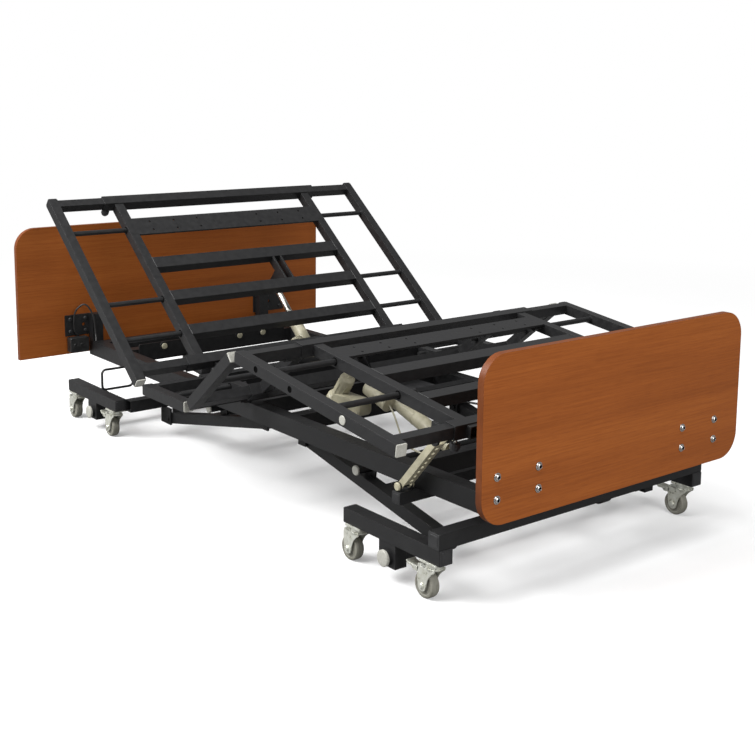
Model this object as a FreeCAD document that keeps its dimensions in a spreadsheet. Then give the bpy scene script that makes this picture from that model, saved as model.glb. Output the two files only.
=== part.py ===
import FreeCAD, Part
import math
import os
import re
import Sketcher

# Adjustable bed on a low scissor-arm base, in millimetres.
# Frame: origin on the floor under the middle of the bed, +X to the foot end, +Y to the far side, +Z up.
# Deck sections are drawn flat, from their hinge, and then turned to the resting angle.

Vector = FreeCAD.Vector
Rotation = FreeCAD.Rotation
Placement = FreeCAD.Placement

DIMENSIONS = (
    # frame rails and the cross tubes between them
    ("rail_reach", 1030, "half the length of the main rails"),
    ("rail_mid", 350, "rail centre from the middle line"),
    ("rail_width", 40, "rail width"),
    ("rail_depth", 50, "rail height"),
    ("rail_level", 230, "rail centre height"),
    ("cross_width", 40, "cross tube width"),
    ("cross_depth", 45, "cross tube height"),
    ("cross_level", 232.5, "cross tube centre height"),
    ("tube_wall", 2.5, "wall of the welded tubes"),
    ("head_lift_cross", -840, "cross tube that carries the head lift actuator"),
    ("head_actuator_cross", -245, "cross tube that carries the back actuator"),
    ("knee_actuator_cross", 705, "cross tube that carries the knee actuator"),
    ("drop_bar_mid", 745, "low outriggers that carry the calf struts"),
    ("drop_bar_side", 30, "side of the low outriggers"),
    ("drop_bar_start", 250, "inner end of a low outrigger"),
    ("drop_bar_end", 424, "outer end of a low outrigger"),
    ("seat_post_inset", 2, "seat post centre inside the deck rail centre"),
    ("seat_post_width", 26, "seat post width"),
    ("seat_post_length", 30, "seat post length"),
    ("seat_post_head", -125, "seat post near the head end"),
    ("seat_post_foot", -15, "seat post near the foot end"),
    # deck tubes
    ("deck_level", 290, "centre height of the deck tubes"),
    ("deck_tube", 30, "side of a deck tube"),
    ("deck_wall", 2, "wall of a deck tube"),
    ("deck_rail_mid", 375, "inner deck rail from the middle line"),
    ("sleeve_side", 35, "outer side of a telescope sleeve"),
    ("sleeve_bore", 28.2, "inner side of a telescope sleeve"),
    ("sleeve_half", 425, "sleeve end from the middle line"),
    ("slider_side", 28, "side of a telescope bar"),
    ("slider_start", 255, "inner end of a telescope bar when drawn out"),
    ("wing_edge", 609.6, "outer face of the wing rail when drawn out"),
    ("guide_radius", 8, "wing guide rod radius"),
    ("guide_start", 335, "inner end of a guide rod when drawn out"),
    ("running_gap", 0.05, "radial running clearance"),
    ("cap_length", 4, "how far an end cap stands out of its tube"),
    ("plate_rise", 12, "centre height of the wide deck plate over the tube centre"),
    ("plate_thick", 6, "wide deck plate thickness"),
    ("plate_width", 75, "wide deck plate width"),
    ("plate_hole", 4, "radius of the holes in the wide deck plate"),
    ("plate_hole_inner", 120, "inner pair of plate holes from the middle line"),
    ("plate_hole_mid", 210, "middle pair of plate holes from the middle line"),
    ("plate_hole_outer", 300, "outer pair of plate holes from the middle line"),
    ("bore_overrun", 1, "how far a cutting tool stands out of the face it enters"),
    # hinges
    ("pin_radius", 6, "hinge pin radius"),
    ("eye_radius", 11, "hinge eye outer radius"),
    ("eye_thick", 8, "moving hinge plate thickness"),
    ("ear_thick", 6, "fixed hinge plate thickness"),
    ("hinge_mid", 330, "hinge plate from the middle line"),
    ("side_gap", 1, "gap between hinge plates"),
    ("pin_head", 4, "how far a pin stands out of its ears, at each side"),
    # deck sections, measured from their hinges
    ("back_hinge", -225, "back hinge position"),
    ("back_tilt", 39, "back resting angle"),
    ("back_length", 776, "back rail end"),
    ("back_rail_start", 16, "lower end of the back wing rail"),
    ("back_sleeve_low", 57, "lower back sleeve"),
    ("back_cross_low", 175, "lowest back cross tube and guide rod"),
    ("back_cross_mid", 320, "second back cross tube and guide rod"),
    ("back_cross_high", 465, "third back cross tube"),
    ("back_cross_wide", 45, "width of the third back cross tube"),
    ("back_plate", 630, "wide back plate and upper guide rod"),
    ("back_sleeve_high", 758, "upper back sleeve"),
    ("lever_beam_length", 110, "beam between two back cross tubes, over the lever"),
    ("seat_start", -190, "seat head end"),
    ("seat_end", 45, "seat foot end"),
    ("seat_guide", -72, "seat guide rod"),
    ("seat_cross", -120, "seat cross tube"),
    ("thigh_hinge", 58, "thigh hinge position"),
    ("thigh_tilt", 38.8, "thigh resting angle"),
    ("thigh_rail_start", 20, "upper deck end of the thigh wing rail"),
    ("thigh_rail_end", 290, "knee end of the thigh wing rail"),
    ("thigh_sleeve_low", 35, "thigh sleeve near its hinge"),
    ("thigh_guide", 150, "thigh guide rod"),
    ("thigh_sleeve_high", 265, "thigh sleeve near the knee"),
    ("thigh_length", 308, "thigh hinge to knee"),
    ("calf_tilt", 7.5, "calf resting slope below level"),
    ("calf_rail_start", 20, "knee end of the calf wing rail"),
    ("calf_sleeve_knee", 35, "calf sleeve near the knee"),
    ("calf_plate", 130, "wide calf plate"),
    ("calf_guide_high", 150, "upper calf guide rod"),
    ("calf_cross_high", 290, "upper calf cross tube"),
    ("calf_cross_wide", 50, "width of the upper calf cross tube"),
    ("calf_guide_low", 410, "lower calf guide rod"),
    ("calf_cross_low", 470, "lower calf cross tube"),
    ("calf_sleeve_end", 640, "calf sleeve near the foot end"),
    ("calf_length", 672, "calf rail end"),
    # lock plungers under the sleeves
    ("knob_inset", 22, "plunger centre from the sleeve end"),
    ("knob_stem", 4, "plunger stem radius"),
    ("knob_stem_length", 16, "plunger stem length"),
    ("knob_collar", 13, "plunger collar radius"),
    ("knob_collar_length", 14, "plunger collar length"),
    ("knob_grip", 10, "plunger grip radius"),
    ("knob_grip_length", 6, "plunger grip length"),
    # lift arms
    ("arm_side", 34, "lift arm side"),
    ("arm_mid", 286, "lift arm from the middle line"),
    ("arm_length", 599.7, "lift arm pivot to pivot"),
    ("arm_tilt", 11.35, "lift arm slope at the lowest position"),
    ("arm_top_level", 178, "upper arm pivot height"),
    ("arm_pin", 8, "lift arm pin radius"),
    ("hanger_width", 36, "arm hanger plate width"),
    ("hanger_lip", 10, "arm hanger plate below its pin"),
    ("arm_eye_wall", 9, "wall of the arm eye round the foot pivot tube"),
    ("arm_eye_inset", 14, "arm tube end to the far side of the eye bores"),
    ("foot_arm_top", 182, "foot arm upper pivot"),
    ("head_arm_top", -12, "head arm upper pivot"),
    ("tie_along", 278, "tie tube from the upper pivot, along the arm"),
    ("tie_rise", 43, "tie tube above the arm centre"),
    ("tie_radius", 12.5, "tie tube radius"),
    ("tie_reach", 44, "tie tube end outside the arm centre"),
    ("tie_post_inset", 8, "tie tube post inside the arm centre"),
    ("tie_post_width", 40, "tie tube post width"),
    ("tie_post_thick", 6, "tie tube post thickness"),
    ("lever_along", 350, "actuator lever from the upper pivot, along the arm"),
    ("lever_rise", 50, "actuator pin above the arm centre"),
    ("lever_radius", 22, "rounded end of an actuator lever plate"),
    ("lever_thick", 6, "actuator lever plate thickness"),
    ("lever_cap_radius", 9, "pin cap radius on a lever plate"),
    ("lever_cap_thick", 4, "pin cap thickness"),
    # base carriages
    ("base_mid", 454, "carriage tube from the middle line"),
    ("base_side", 38, "carriage tube side"),
    ("base_level", 116, "carriage tube centre height"),
    ("base_length", 360, "carriage tube length"),
    ("foot_base_mid", 780, "foot carriage centre"),
    ("head_base_mid", -835, "head carriage centre"),
    ("foot_beam_mid", 941, "foot cross beam centre"),
    ("head_beam_mid", -636, "head cross beam centre"),
    ("pivot_level", 60, "lower arm pivot height"),
    ("pivot_radius", 19, "pivot tube radius"),
    ("pivot_half", 480, "pivot tube half length"),
    ("foot_pivot", 770, "foot pivot tube position"),
    ("head_pivot", -600, "head arm lower pivot position"),
    ("head_stay", -832, "head stay tube position"),
    ("block_width", 62, "pivot block width"),
    ("block_thick", 35, "pivot block thickness"),
    ("block_foot", 37, "pivot block lower edge height"),
    ("pivot_wall", 3, "pivot tube wall"),
    ("pivot_cap", 6, "pivot tube cap length"),
    ("pivot_cap_lip", 1, "pivot tube cap over the tube radius"),
    ("collar_wall", 6, "pivot tube collar over the tube radius"),
    ("collar_length", 12, "pivot tube collar length"),
    ("collar_gap", 1, "collar from the pivot block"),
    ("arm_ear_length", 64, "ear on the head beam that holds an arm"),
    ("arm_ear_mid", -614, "middle of the ears on the head beam"),
    ("arm_ear_lip", 18, "ear below the lower arm pivot"),
    # casters
    ("wheel_radius", 32.5, "caster wheel radius"),
    ("wheel_width", 24, "caster wheel width"),
    ("wheel_inset", 38, "swivel centre from the carriage tube end"),
    ("trail", 25, "wheel centre behind the swivel centre"),
    ("fork_gap", 29, "space between the fork legs"),
    ("fork_leg", 3, "fork leg thickness"),
    ("fork_top", 80, "fork crown centre height"),
    ("crown_thick", 6, "fork crown thickness"),
    ("crown_length", 52, "fork crown length"),
    ("crown_mid", 14, "fork crown centre behind the swivel centre"),
    ("leg_width", 40, "fork leg width at the crown"),
    ("leg_mid", 16, "fork leg centre behind the swivel centre"),
    ("leg_lap", 12, "overlap of the wide and the narrow part of a fork leg"),
    ("foot_width", 28, "fork leg width at the axle"),
    ("foot_radius", 15, "rounded fork leg end"),
    ("axle_head", 7, "axle head radius"),
    ("axle_head_thick", 4, "axle head thickness"),
    ("stem_length", 14, "swivel stem length"),
    ("race_gap", 0.5, "gap between the swivel races"),
    ("race_radius", 21, "swivel race radius"),
    ("stem_radius", 6, "swivel stem radius"),
    ("axle_radius", 4, "wheel axle radius"),
    ("hub_radius", 9, "wheel hub radius"),
    ("hub_stand", 1.5, "wheel hub outside the tread"),
    ("dish_inner", 11, "inner radius of the wheel's dished side"),
    ("dish_outer", 23, "outer radius of the wheel's dished side"),
    ("dish_depth", 3, "depth of the wheel's dished side"),
    ("tread_inner", 25, "inner radius of the tread"),
    ("tread_round", 3, "radial run of the tread's chamfer"),
    ("tread_side", 4, "sideways run of the tread's chamfer"),
    ("mount_plate", 5, "caster mounting plate thickness"),
    ("mount_plate_side", 58, "caster mounting plate side"),
    ("pedal_width", 26, "brake pedal width"),
    ("pedal_length", 30, "brake pedal length"),
    ("pedal_thick", 5, "brake pedal thickness"),
    ("pedal_pivot", 54, "pedal pivot behind the swivel centre"),
    ("pedal_level", 68, "pedal pivot height"),
    ("pedal_pin", 2.5, "pedal pin radius"),
    ("pedal_barrel", 5, "pedal hinge barrel radius"),
    ("pedal_lip", 6, "length and height of the pedal's rolled lip"),
    ("pedal_lip_thick", 3, "thickness of the pedal's rolled lip"),
    ("pedal_ear", 12, "height of the fork ears that hold the pedal pin"),
    ("mount_plate_lap", 3, "mounting plate outside the carriage tube, at each side"),
    # end boards
    ("foot_board_face", 1075, "outer face of the footboard"),
    ("head_board_face", 1085, "outer face of the headboard, towards the head"),
    ("board_thick", 19, "end board thickness"),
    ("foot_board_width", 914, "footboard width"),
    ("foot_board_low", 215, "footboard lower edge height"),
    ("foot_board_high", 602, "footboard upper edge height"),
    ("head_board_width", 1250, "headboard width"),
    ("head_board_low", 214, "headboard lower edge height"),
    ("head_board_high", 669, "headboard upper edge height"),
    ("foot_corner", 65, "footboard corner radius"),
    ("head_corner", 70, "headboard corner radius"),
    ("bolt_near_outer", -411, "near outer footboard bolt column"),
    ("bolt_near_inner", -282, "near inner footboard bolt column"),
    ("bolt_far_inner", 229, "far inner footboard bolt column"),
    ("bolt_far_outer", 358, "far outer footboard bolt column"),
    ("bolt_low", 275, "lower footboard bolt row"),
    ("bolt_high", 327, "upper footboard bolt row"),
    ("screw_inner", 384, "inner headboard screw column"),
    ("screw_outer", 441, "outer headboard screw column"),
    ("screw_low", 294, "lower headboard screw row"),
    ("screw_high", 338, "upper headboard screw row"),
    ("bolt_radius", 5, "board bolt shank radius"),
    ("bolt_hole", 5.25, "board bolt hole radius"),
    ("bolt_head", 7.5, "board bolt head radius"),
    ("bolt_head_thick", 5, "board bolt head thickness"),
    ("washer_radius", 10, "board bolt washer radius"),
    ("washer_thick", 2, "board bolt washer thickness"),
    ("nut_radius", 8, "board bolt nut radius"),
    ("nut_thick", 6, "board bolt nut thickness"),
    ("screw_head", 7, "headboard screw head radius"),
    ("screw_head_thick", 4, "headboard screw head thickness"),
    ("plate_bore", 6, "radius of the hole in a headboard plate"),
    ("plate_bore_across", 390.5, "hole in a headboard plate from the middle line"),
    ("plate_bore_level", 316, "hole in a headboard plate, height"),
    ("foot_bracket_inner", 205, "inner edge of a footboard plate"),
    ("foot_bracket_outer", 435, "outer edge of a footboard plate"),
    ("foot_bracket_low", 250, "lower edge of a footboard plate"),
    ("foot_bracket_high", 350, "upper edge of a footboard plate"),
    ("foot_post_high", 262, "top of the post behind a footboard plate"),
    ("head_bracket_inner", 322, "inner edge of a headboard plate"),
    ("head_bracket_outer", 459, "outer edge of a headboard plate"),
    ("head_bracket_low", 279, "lower edge of a headboard plate"),
    ("head_bracket_high", 353, "upper edge of a headboard plate"),
    ("head_post_high", 353, "top of the post behind a headboard plate"),
    ("bracket_thick", 6, "board bracket plate thickness"),
    # wire hangers
    ("loop_at", -770, "wire hanger position"),
    ("loop_wire", 4, "wire radius"),
    ("loop_reach", 462, "wire hanger outer side from the middle line"),
    ("loop_low", 146, "wire hanger lower side height"),
    ("loop_top", 9, "wire hanger upper side above the rail's lower face"),
    ("loop_bend", 14, "wire hanger bend radius"),
    # control unit
    ("control_line", 150, "control unit from the middle line"),
    ("control_width", 110, "control unit width"),
    ("control_depth", 52, "control unit height"),
    ("control_drop", 4, "control unit centre below the cross tube centre"),
    ("socket_length", 90, "socket strip length"),
    ("socket_width", 70, "socket strip width"),
    ("socket_depth", 6, "socket strip height"),
    # actuators
    ("rod_radius", 10, "actuator rod radius"),
    ("rod_bore", 10.05, "actuator body bore radius"),
    ("eye_end", 15, "actuator eye radius"),
    ("eye_end_thick", 22, "actuator eye thickness"),
    ("body_radius", 21, "actuator tube radius"),
    ("foot_eye", 12, "radius of an actuator's foot eye and of the ears round it"),
    ("foot_ear_reach", 25, "length of the ears in front of a cross tube"),
    ("neck_mid", 16, "middle of the neck behind an actuator's foot eye"),
    ("neck_length", 24, "length of the neck"),
    ("neck_height", 20, "height of the neck"),
    ("tube_start", 26, "start of the actuator tube from the foot pin"),
    ("bore_start", 30, "blind end of the actuator bore from the foot pin"),
    ("tube_collar", 16, "actuator collar length"),
    ("tube_collar_wall", 2, "actuator collar over the tube radius"),
    ("motor_radius", 22, "actuator motor radius"),
    ("motor_offset", 33, "actuator motor beside the tube"),
    ("motor_length", 86, "actuator motor length"),
    ("motor_cover_length", 60, "cover between motor and tube, length"),
    ("motor_cover_height", 40, "cover between motor and tube, height"),
    ("back_actuator_foot", -290, "back actuator foot pin"),
    ("back_actuator_foot_level", 222, "back actuator foot pin height"),
    ("back_actuator_line", 100, "back actuator from the middle line"),
    ("back_lever_along", 380, "back actuator pin from the back hinge"),
    ("back_lever_drop", 75, "back actuator pin below the back tubes"),
    ("back_body", 225, "back actuator body length"),
    ("back_motor", 95, "back actuator motor from the foot pin"),
    ("knee_actuator_foot", 660, "knee actuator foot pin"),
    ("knee_actuator_foot_level", 228, "knee actuator foot pin height"),
    ("knee_actuator_line", -150, "knee actuator from the middle line"),
    ("knee_lever_along", 200, "knee actuator pin from the thigh hinge"),
    ("knee_lever_drop", 70, "knee actuator pin below the thigh tubes"),
    ("knee_body", 355, "knee actuator body length"),
    ("knee_motor", 305, "knee actuator motor from the foot pin"),
    ("lift_actuator_foot", 972, "foot lift actuator foot pin"),
    ("lift_actuator_foot_level", 205, "lift actuator foot pin height"),
    ("lift_ear_reach", 38, "length of the ears from a lift actuator's foot pin to its cross tube"),
    ("lift_motor", 110, "lift actuator motor from the foot pin"),
    ("lift_actuator_line", 100, "lift actuators from the middle line"),
    ("lift_body", 310, "lift actuator body length"),
    ("rod_park", 95, "inner end of an actuator rod at rest"),
    ("rod_lap", 10, "actuator rod end short of its pin"),
    # calf strut
    ("strut_line", 400, "calf strut from the middle line"),
    ("strut_foot", 745, "calf strut lower pivot"),
    ("strut_foot_level", 217, "calf strut lower pivot height"),
    ("strut_width", 30, "calf strut width"),
    ("strut_ear", 3, "calf strut ear thickness"),
    ("strut_ear_width", 20, "calf strut ear width"),
    ("strut_wall", 3, "calf strut wall"),
    ("strut_window", 15, "end of the strut web from each pivot"),
    ("strut_top_bore", 4, "bore at the upper end of the calf strut"),
    ("strut_depth", 18, "calf strut depth"),
    ("strut_hole", 5, "calf strut hole radius"),
    ("strut_pitch", 19, "calf strut hole pitch"),
    ("calf_strut_along", 588, "calf strut upper pivot from the knee"),
    ("calf_strut_drop", 42, "calf strut upper pivot below the calf tubes"),
    ("lug_radius", 15, "rounded end of a calf strut lug"),
    ("lug_depth", 18, "height of the strap between lug and sleeve"),
    ("lug_overlap", 14, "strap past the upper pivot, towards the knee"),
)

doc = FreeCAD.newDocument("hospital_bed")
sheet = doc.addObject("Spreadsheet::Sheet", "dims")
for row, (alias, value, meaning) in enumerate(DIMENSIONS, start=1):
    sheet.set(f"A{row}", meaning)
    sheet.set(f"B{row}", str(value))
    sheet.setAlias(f"B{row}", alias)
doc.recompute()

nodes = []
SIDES = (("near", -1), ("far", 1))
STRUT_HOLES = 8
TURN = {"x": Rotation(Vector(0, 1, 0), 90), "y": Rotation(Vector(1, 0, 0), -90), "z": Rotation()}


def size(alias):
    """A driving dimension as a number."""
    return float(sheet.get(alias))


def formula(text):
    """The same formula with every dimension name pointing at the sheet."""
    return re.sub(r"\b([a-z][a-z_0-9]*)\b(?!\()", r"dims.\1", str(text))


def bind(item, prop, text):
    item.setExpression(prop, formula(text))


# ---------------------------------------------------------------- solids

def bar(centre, sides):
    """A rectangular solid given by its centre and its three sides."""
    solid = doc.addObject("Part::Box", "bar")
    for prop, side in zip(("Length", "Width", "Height"), sides):
        bind(solid, prop, side)
    for axis, middle, side in zip("xyz", centre, sides):
        bind(solid, "Placement.Base." + axis, f"({middle}) - ({side})/2")
    return solid


def rod(axis, centre, radius, length):
    """A round solid along one axis, given by its centre."""
    solid = doc.addObject("Part::Cylinder", "rod")
    bind(solid, "Radius", radius)
    bind(solid, "Height", length)
    solid.Placement = Placement(Vector(), TURN[axis])
    for name, middle in zip("xyz", centre):
        start = f"({middle}) - ({length})/2" if name == axis else middle
        bind(solid, "Placement.Base." + name, start)
    return solid


def union(pieces):
    if len(pieces) == 1:
        return pieces[0]
    joined = doc.addObject("Part::MultiFuse", "union")
    joined.Shapes = pieces
    return joined


def cut(base, tools):
    made = doc.addObject("Part::Cut", "cut")
    made.Base = base
    made.Tool = union(tools)
    return made


def box_tube(axis, centre, sides, wall="tube_wall"):
    """A square tube, open at both ends, along one axis."""
    inner = [side if name == axis else f"({side}) - 2*({wall})" for name, side in zip("xyz", sides)]
    return cut(bar(centre, sides), [bar(centre, inner)])


def node(label, pieces, place=None):
    """One named sub-part made of these solids, set down at its place."""
    made = pieces[0] if len(pieces) == 1 else doc.addObject("Part::MultiFuse", label)
    if len(pieces) > 1:
        made.Shapes = pieces
    made.Label = label
    if place:
        made.Placement = place
    nodes.append(made)
    return made


def hinged(hinge, angle, level="deck_level"):
    """The place of a deck section that was drawn flat from its hinge."""
    return Placement(Vector(size(hinge), 0, size(level)), Rotation(Vector(0, 1, 0), angle))


def eye(at, reach, middle, thick, bore, direction):
    """A hinge eye at a point, with a strap that runs along X to the part that carries it."""
    strap = bar((f"({at}) + ({direction})*({reach})/2", middle, "0"), (reach, thick, "2*eye_radius"))
    ring = rod("y", (at, middle, "0"), "eye_radius", thick)
    return cut(union([strap, ring]), [rod("y", (at, middle, "0"), bore, f"({thick}) + 2*bore_overrun")])


def clevis(at, reach, middle, direction, level="0"):
    """Two fixed ears and the hinge pin between them."""
    pieces = []
    for side in (-1, 1):
        offset = f"({middle}) + ({side})*(eye_thick/2 + side_gap + ear_thick/2)"
        strap_mid = f"({at}) + ({direction})*({reach})/2"
        pieces.append(bar((strap_mid, offset, level), (reach, "ear_thick", "2*eye_radius")))
        pieces.append(rod("y", (at, offset, level), "eye_radius", "ear_thick"))
    pieces.append(rod("y", (at, middle, level), "pin_radius",
                      "eye_thick + 2*(side_gap + ear_thick + pin_head)"))
    return pieces


# ---------------------------------------------------------------- sketched solids

# where the corners and circles of a sketch start, before its distances place them
OUTLINE_SPREAD = 20
OUTLINE_TWIST = 10
CIRCLE_SPREAD = 30
CIRCLE_START = 3


def origin_part(body, role):
    return next(item for item in body.Origin.OriginFeatures if item.Role == role)


def new_body(label):
    body = doc.addObject("PartDesign::Body", label)
    body.Label = label
    nodes.append(body)
    return body


def new_sketch(body, role):
    made = body.newObject("Sketcher::SketchObject", "profile")
    made.AttachmentSupport = [(origin_part(body, role), "")]
    made.MapMode = "FlatFace"
    return made


def hold_point(profile, edge, end, number, across, up):
    """Fix one end of an edge, or a circle's centre, by two bound distances from the origin."""
    point = profile.getPoint(edge, end)
    for kind, start, text in (("DistanceX", point.x, across), ("DistanceY", point.y, up)):
        index = profile.addConstraint(Sketcher.Constraint(kind, -1, 1, edge, end, start))
        name = f"{kind}_{number}"
        profile.renameConstraint(index, name)
        bind(profile, "Constraints." + name, text)


def outline(profile, corners):
    """A closed straight-sided outline whose corners are bound to the sheet."""
    count = len(corners)
    spoke = Vector(OUTLINE_SPREAD, 0, 0)
    turns = [Rotation(Vector(0, 0, 1), 360 * i / count + OUTLINE_TWIST) for i in range(count)]
    guess = [turn.multVec(spoke) for turn in turns]
    for i in range(count):
        profile.addGeometry(Part.LineSegment(guess[i], guess[(i + 1) % count]), False)
    for i in range(count):
        profile.addConstraint(Sketcher.Constraint("Coincident", i, 2, (i + 1) % count, 1))
    for i, (across, up) in enumerate(corners):
        hold_point(profile, i, 1, i, across, up)


def circles(profile, radius, centres):
    for i, (across, up) in enumerate(centres):
        start = Vector(CIRCLE_SPREAD * (i + 1), CIRCLE_SPREAD, 0)
        profile.addGeometry(Part.Circle(start, Vector(0, 0, 1), CIRCLE_START), False)
        hold_point(profile, i, 3, i, across, up)
        index = profile.addConstraint(Sketcher.Constraint("Radius", i, CIRCLE_START))
        name = f"radius_{i}"
        profile.renameConstraint(index, name)
        bind(profile, "Constraints." + name, radius)


def pad(body, profile, length, middle=False):
    made = body.newObject("PartDesign::Pad", "pad")
    made.Profile = profile
    made.Midplane = middle
    bind(made, "Length", length)
    return made


def drill(body, profile):
    """Round holes right through the body, both ways from the sketch."""
    made = body.newObject("PartDesign::Pocket", "holes")
    made.Profile = profile
    made.Type = "ThroughAll"
    made.Midplane = True
    return made


def round_edges(body, base, radius, choose):
    """Round the edges of the last feature that the test picks."""
    doc.recompute()
    names = [f"Edge{i}" for i, edge in enumerate(base.Shape.Edges, start=1) if choose(edge)]
    made = body.newObject("PartDesign::Fillet", "rounding")
    made.Base = (base, names)
    bind(made, "Radius", radius)
    return made


# ---------------------------------------------------------------- main frame

def main_frame():
    pieces = []
    for side in (-1, 1):
        centre = ("0", f"({side})*rail_mid", "rail_level")
        pieces.append(box_tube("x", centre, ("2*rail_reach", "rail_width", "rail_depth")))
    end_cross = "rail_reach - cross_width/2"
    for along in (f"-({end_cross})", "head_lift_cross", "head_actuator_cross", "head_arm_top",
                  "foot_arm_top", "knee_actuator_cross", end_cross):
        span = "2*rail_mid - rail_width"
        centre = (along, "0", "cross_level")
        pieces.append(box_tube("y", centre, ("cross_width", span, "cross_depth")))
    drop_level = "rail_level - rail_depth/2 - drop_bar_side/2"
    for side in (-1, 1):
        across = f"({side})*(drop_bar_start + drop_bar_end)/2"
        pieces.append(box_tube("y", ("drop_bar_mid", across, drop_level),
                               ("drop_bar_side", "drop_bar_end - drop_bar_start", "drop_bar_side")))
        pieces += strut_clevis(side)
    for along in ("head_arm_top", "foot_arm_top"):
        for side in (-1, 1):
            pieces += arm_hanger(along, side)
    pieces += actuator_clevis("back_actuator_foot", "back_actuator_line", "back_actuator_foot_level", 1,
                              "foot_ear_reach")
    pieces += actuator_clevis("knee_actuator_foot", "knee_actuator_line", "knee_actuator_foot_level", 1,
                              "foot_ear_reach")
    pieces += lift_clevis(1)
    pieces += lift_clevis(-1)
    node("main_frame", pieces)


def arm_hanger(along, side):
    """Two plates under a cross tube, with the pin of the lift arm's upper end."""
    pieces = []
    low = "arm_top_level - arm_pin - hanger_lip"
    high = "cross_level - cross_depth/2"
    middle = f"(({low}) + ({high}))/2"
    for face in (-1, 1):
        across = f"({side})*arm_mid + ({face})*(arm_side/2 + side_gap + ear_thick/2)"
        pieces.append(bar((along, across, middle), ("hanger_width", "ear_thick", f"({high}) - ({low})")))
    pieces.append(rod("y", (along, f"({side})*arm_mid", "arm_top_level"), "arm_pin",
                      "arm_side + 2*(side_gap + ear_thick + pin_head)"))
    return pieces


def actuator_clevis(at, line, level, direction, reach):
    """Ears on the face of a cross tube, with the actuator's foot pin."""
    pieces = []
    for face in (-1, 1):
        across = f"({line}) + ({face})*(eye_end_thick/2 + side_gap + ear_thick/2)"
        middle = f"({at}) + ({direction})*({reach})/2"
        pieces.append(bar((middle, across, level), (reach, "ear_thick", "2*foot_eye")))
        pieces.append(rod("y", (at, across, level), "foot_eye", "ear_thick"))
    pieces.append(rod("y", (at, line, level), "pin_radius",
                      "eye_end_thick + 2*(side_gap + ear_thick + pin_head)"))
    return pieces


def lift_clevis(end):
    """Ears under a cross tube, with the lift actuator's foot pin."""
    at = "lift_actuator_foot" if end > 0 else "foot_arm_top + head_arm_top - lift_actuator_foot"
    return actuator_clevis(at, f"({end})*lift_actuator_line", "lift_actuator_foot_level", end,
                           "lift_ear_reach")


def strut_clevis(side):
    """Ears on top of a low outrigger, with the pin of a calf strut."""
    pieces = []
    base = "rail_level - rail_depth/2"
    for face in (-1, 1):
        across = f"({side})*strut_line + ({face})*(strut_width/2 + side_gap + strut_ear/2)"
        pieces.append(bar(("strut_foot", across, f"(({base}) + strut_foot_level)/2"),
                          ("strut_ear_width", "strut_ear", f"strut_foot_level - ({base})")))
        pieces.append(rod("y", ("strut_foot", across, "strut_foot_level"), "strut_ear_width/2",
                          "strut_ear"))
    pieces.append(rod("y", ("strut_foot", f"({side})*strut_line", "strut_foot_level"), "pin_radius",
                      "strut_width + 2*(side_gap + strut_ear + side_gap)"))
    return pieces


# ---------------------------------------------------------------- deck sections

def deck_rail(start, end, across):
    """A deck tube along X between two distances from the hinge."""
    return box_tube("x", (f"(({start}) + ({end}))/2", across, "0"),
                    (f"({end}) - ({start})", "deck_tube", "deck_tube"), "deck_wall")


def sleeve(along):
    """A telescope sleeve across the deck, open at both ends."""
    return cut(bar((along, "0", "0"), ("sleeve_side", "2*sleeve_half", "sleeve_side")),
               [bar((along, "0", "0"), ("sleeve_bore", "2*sleeve_half", "sleeve_bore"))])


def cross(along, width):
    """A plain tube between the two inner deck rails."""
    sides = (width, "2*deck_rail_mid - deck_tube", "deck_tube")
    return box_tube("y", (along, "0", "0"), sides, "deck_wall")


def wide_plate(along):
    """A flat plate on top of the rails with pairs of holes near each side."""
    blank = bar((along, "0", "plate_rise"), ("plate_width", "2*deck_rail_mid - deck_tube", "plate_thick"))
    drills = []
    for side in (-1, 1):
        for across in ("plate_hole_inner", "plate_hole_mid", "plate_hole_outer"):
            for offset in (-1, 1):
                spot = (f"({along}) + ({offset})*plate_width/4", f"({side})*{across}", "plate_rise")
                drills.append(rod("z", spot, "plate_hole", "plate_thick + 2*bore_overrun"))
    return cut(blank, drills)


def deck_section(sleeves, guides, end=None):
    """Two inner rails between the telescope sleeves, bored for the wing guide rods."""
    low, high = sleeves
    pieces = [sleeve(along) for along in sleeves]
    for side in (-1, 1):
        across = f"({side})*deck_rail_mid"
        runs = [deck_rail(f"({low}) + sleeve_side/2", f"({high}) - sleeve_side/2", across)]
        if end:
            runs.append(deck_rail(f"({high}) + sleeve_side/2", end, across))
        bores = [rod("y", (along, across, "0"), "guide_radius + running_gap", "deck_tube + 2*bore_overrun")
                 for along in guides]
        pieces.append(cut(union(runs), bores))
    return pieces


def lever(along, level, root, line):
    """Two plates from a tube face at height root to a pin at height level, with a cap outside each."""
    pieces = []
    for face in (-1, 1):
        across = f"({line}) + ({face})*(eye_end_thick/2 + side_gap + lever_thick/2)"
        pieces.append(bar((along, across, f"(({level}) + ({root}))/2"),
                          ("2*lever_radius", "lever_thick", f"abs(({root}) - ({level}))")))
        pieces.append(rod("y", (along, across, level), "lever_radius", "lever_thick"))
        cap = f"({line}) + ({face})*(eye_end_thick/2 + side_gap + lever_thick + lever_cap_thick/2)"
        pieces.append(rod("y", (along, cap, level), "lever_cap_radius", "lever_cap_thick"))
    return pieces


BACK_SLEEVES = ("-back_sleeve_high", "-back_sleeve_low")
BACK_GUIDES = ("-back_cross_low", "-back_cross_mid", "-back_plate")
SEAT_SLEEVES = ("seat_start + sleeve_side/2", "seat_end - sleeve_side/2")
SEAT_GUIDES = ("seat_guide",)
THIGH_SLEEVES = ("thigh_sleeve_low", "thigh_sleeve_high")
THIGH_GUIDES = ("thigh_guide",)
CALF_SLEEVES = ("calf_sleeve_knee", "calf_sleeve_end")
CALF_GUIDES = ("calf_guide_high", "calf_guide_low")
LEVER_ROOT = "-deck_tube/2"


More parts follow.
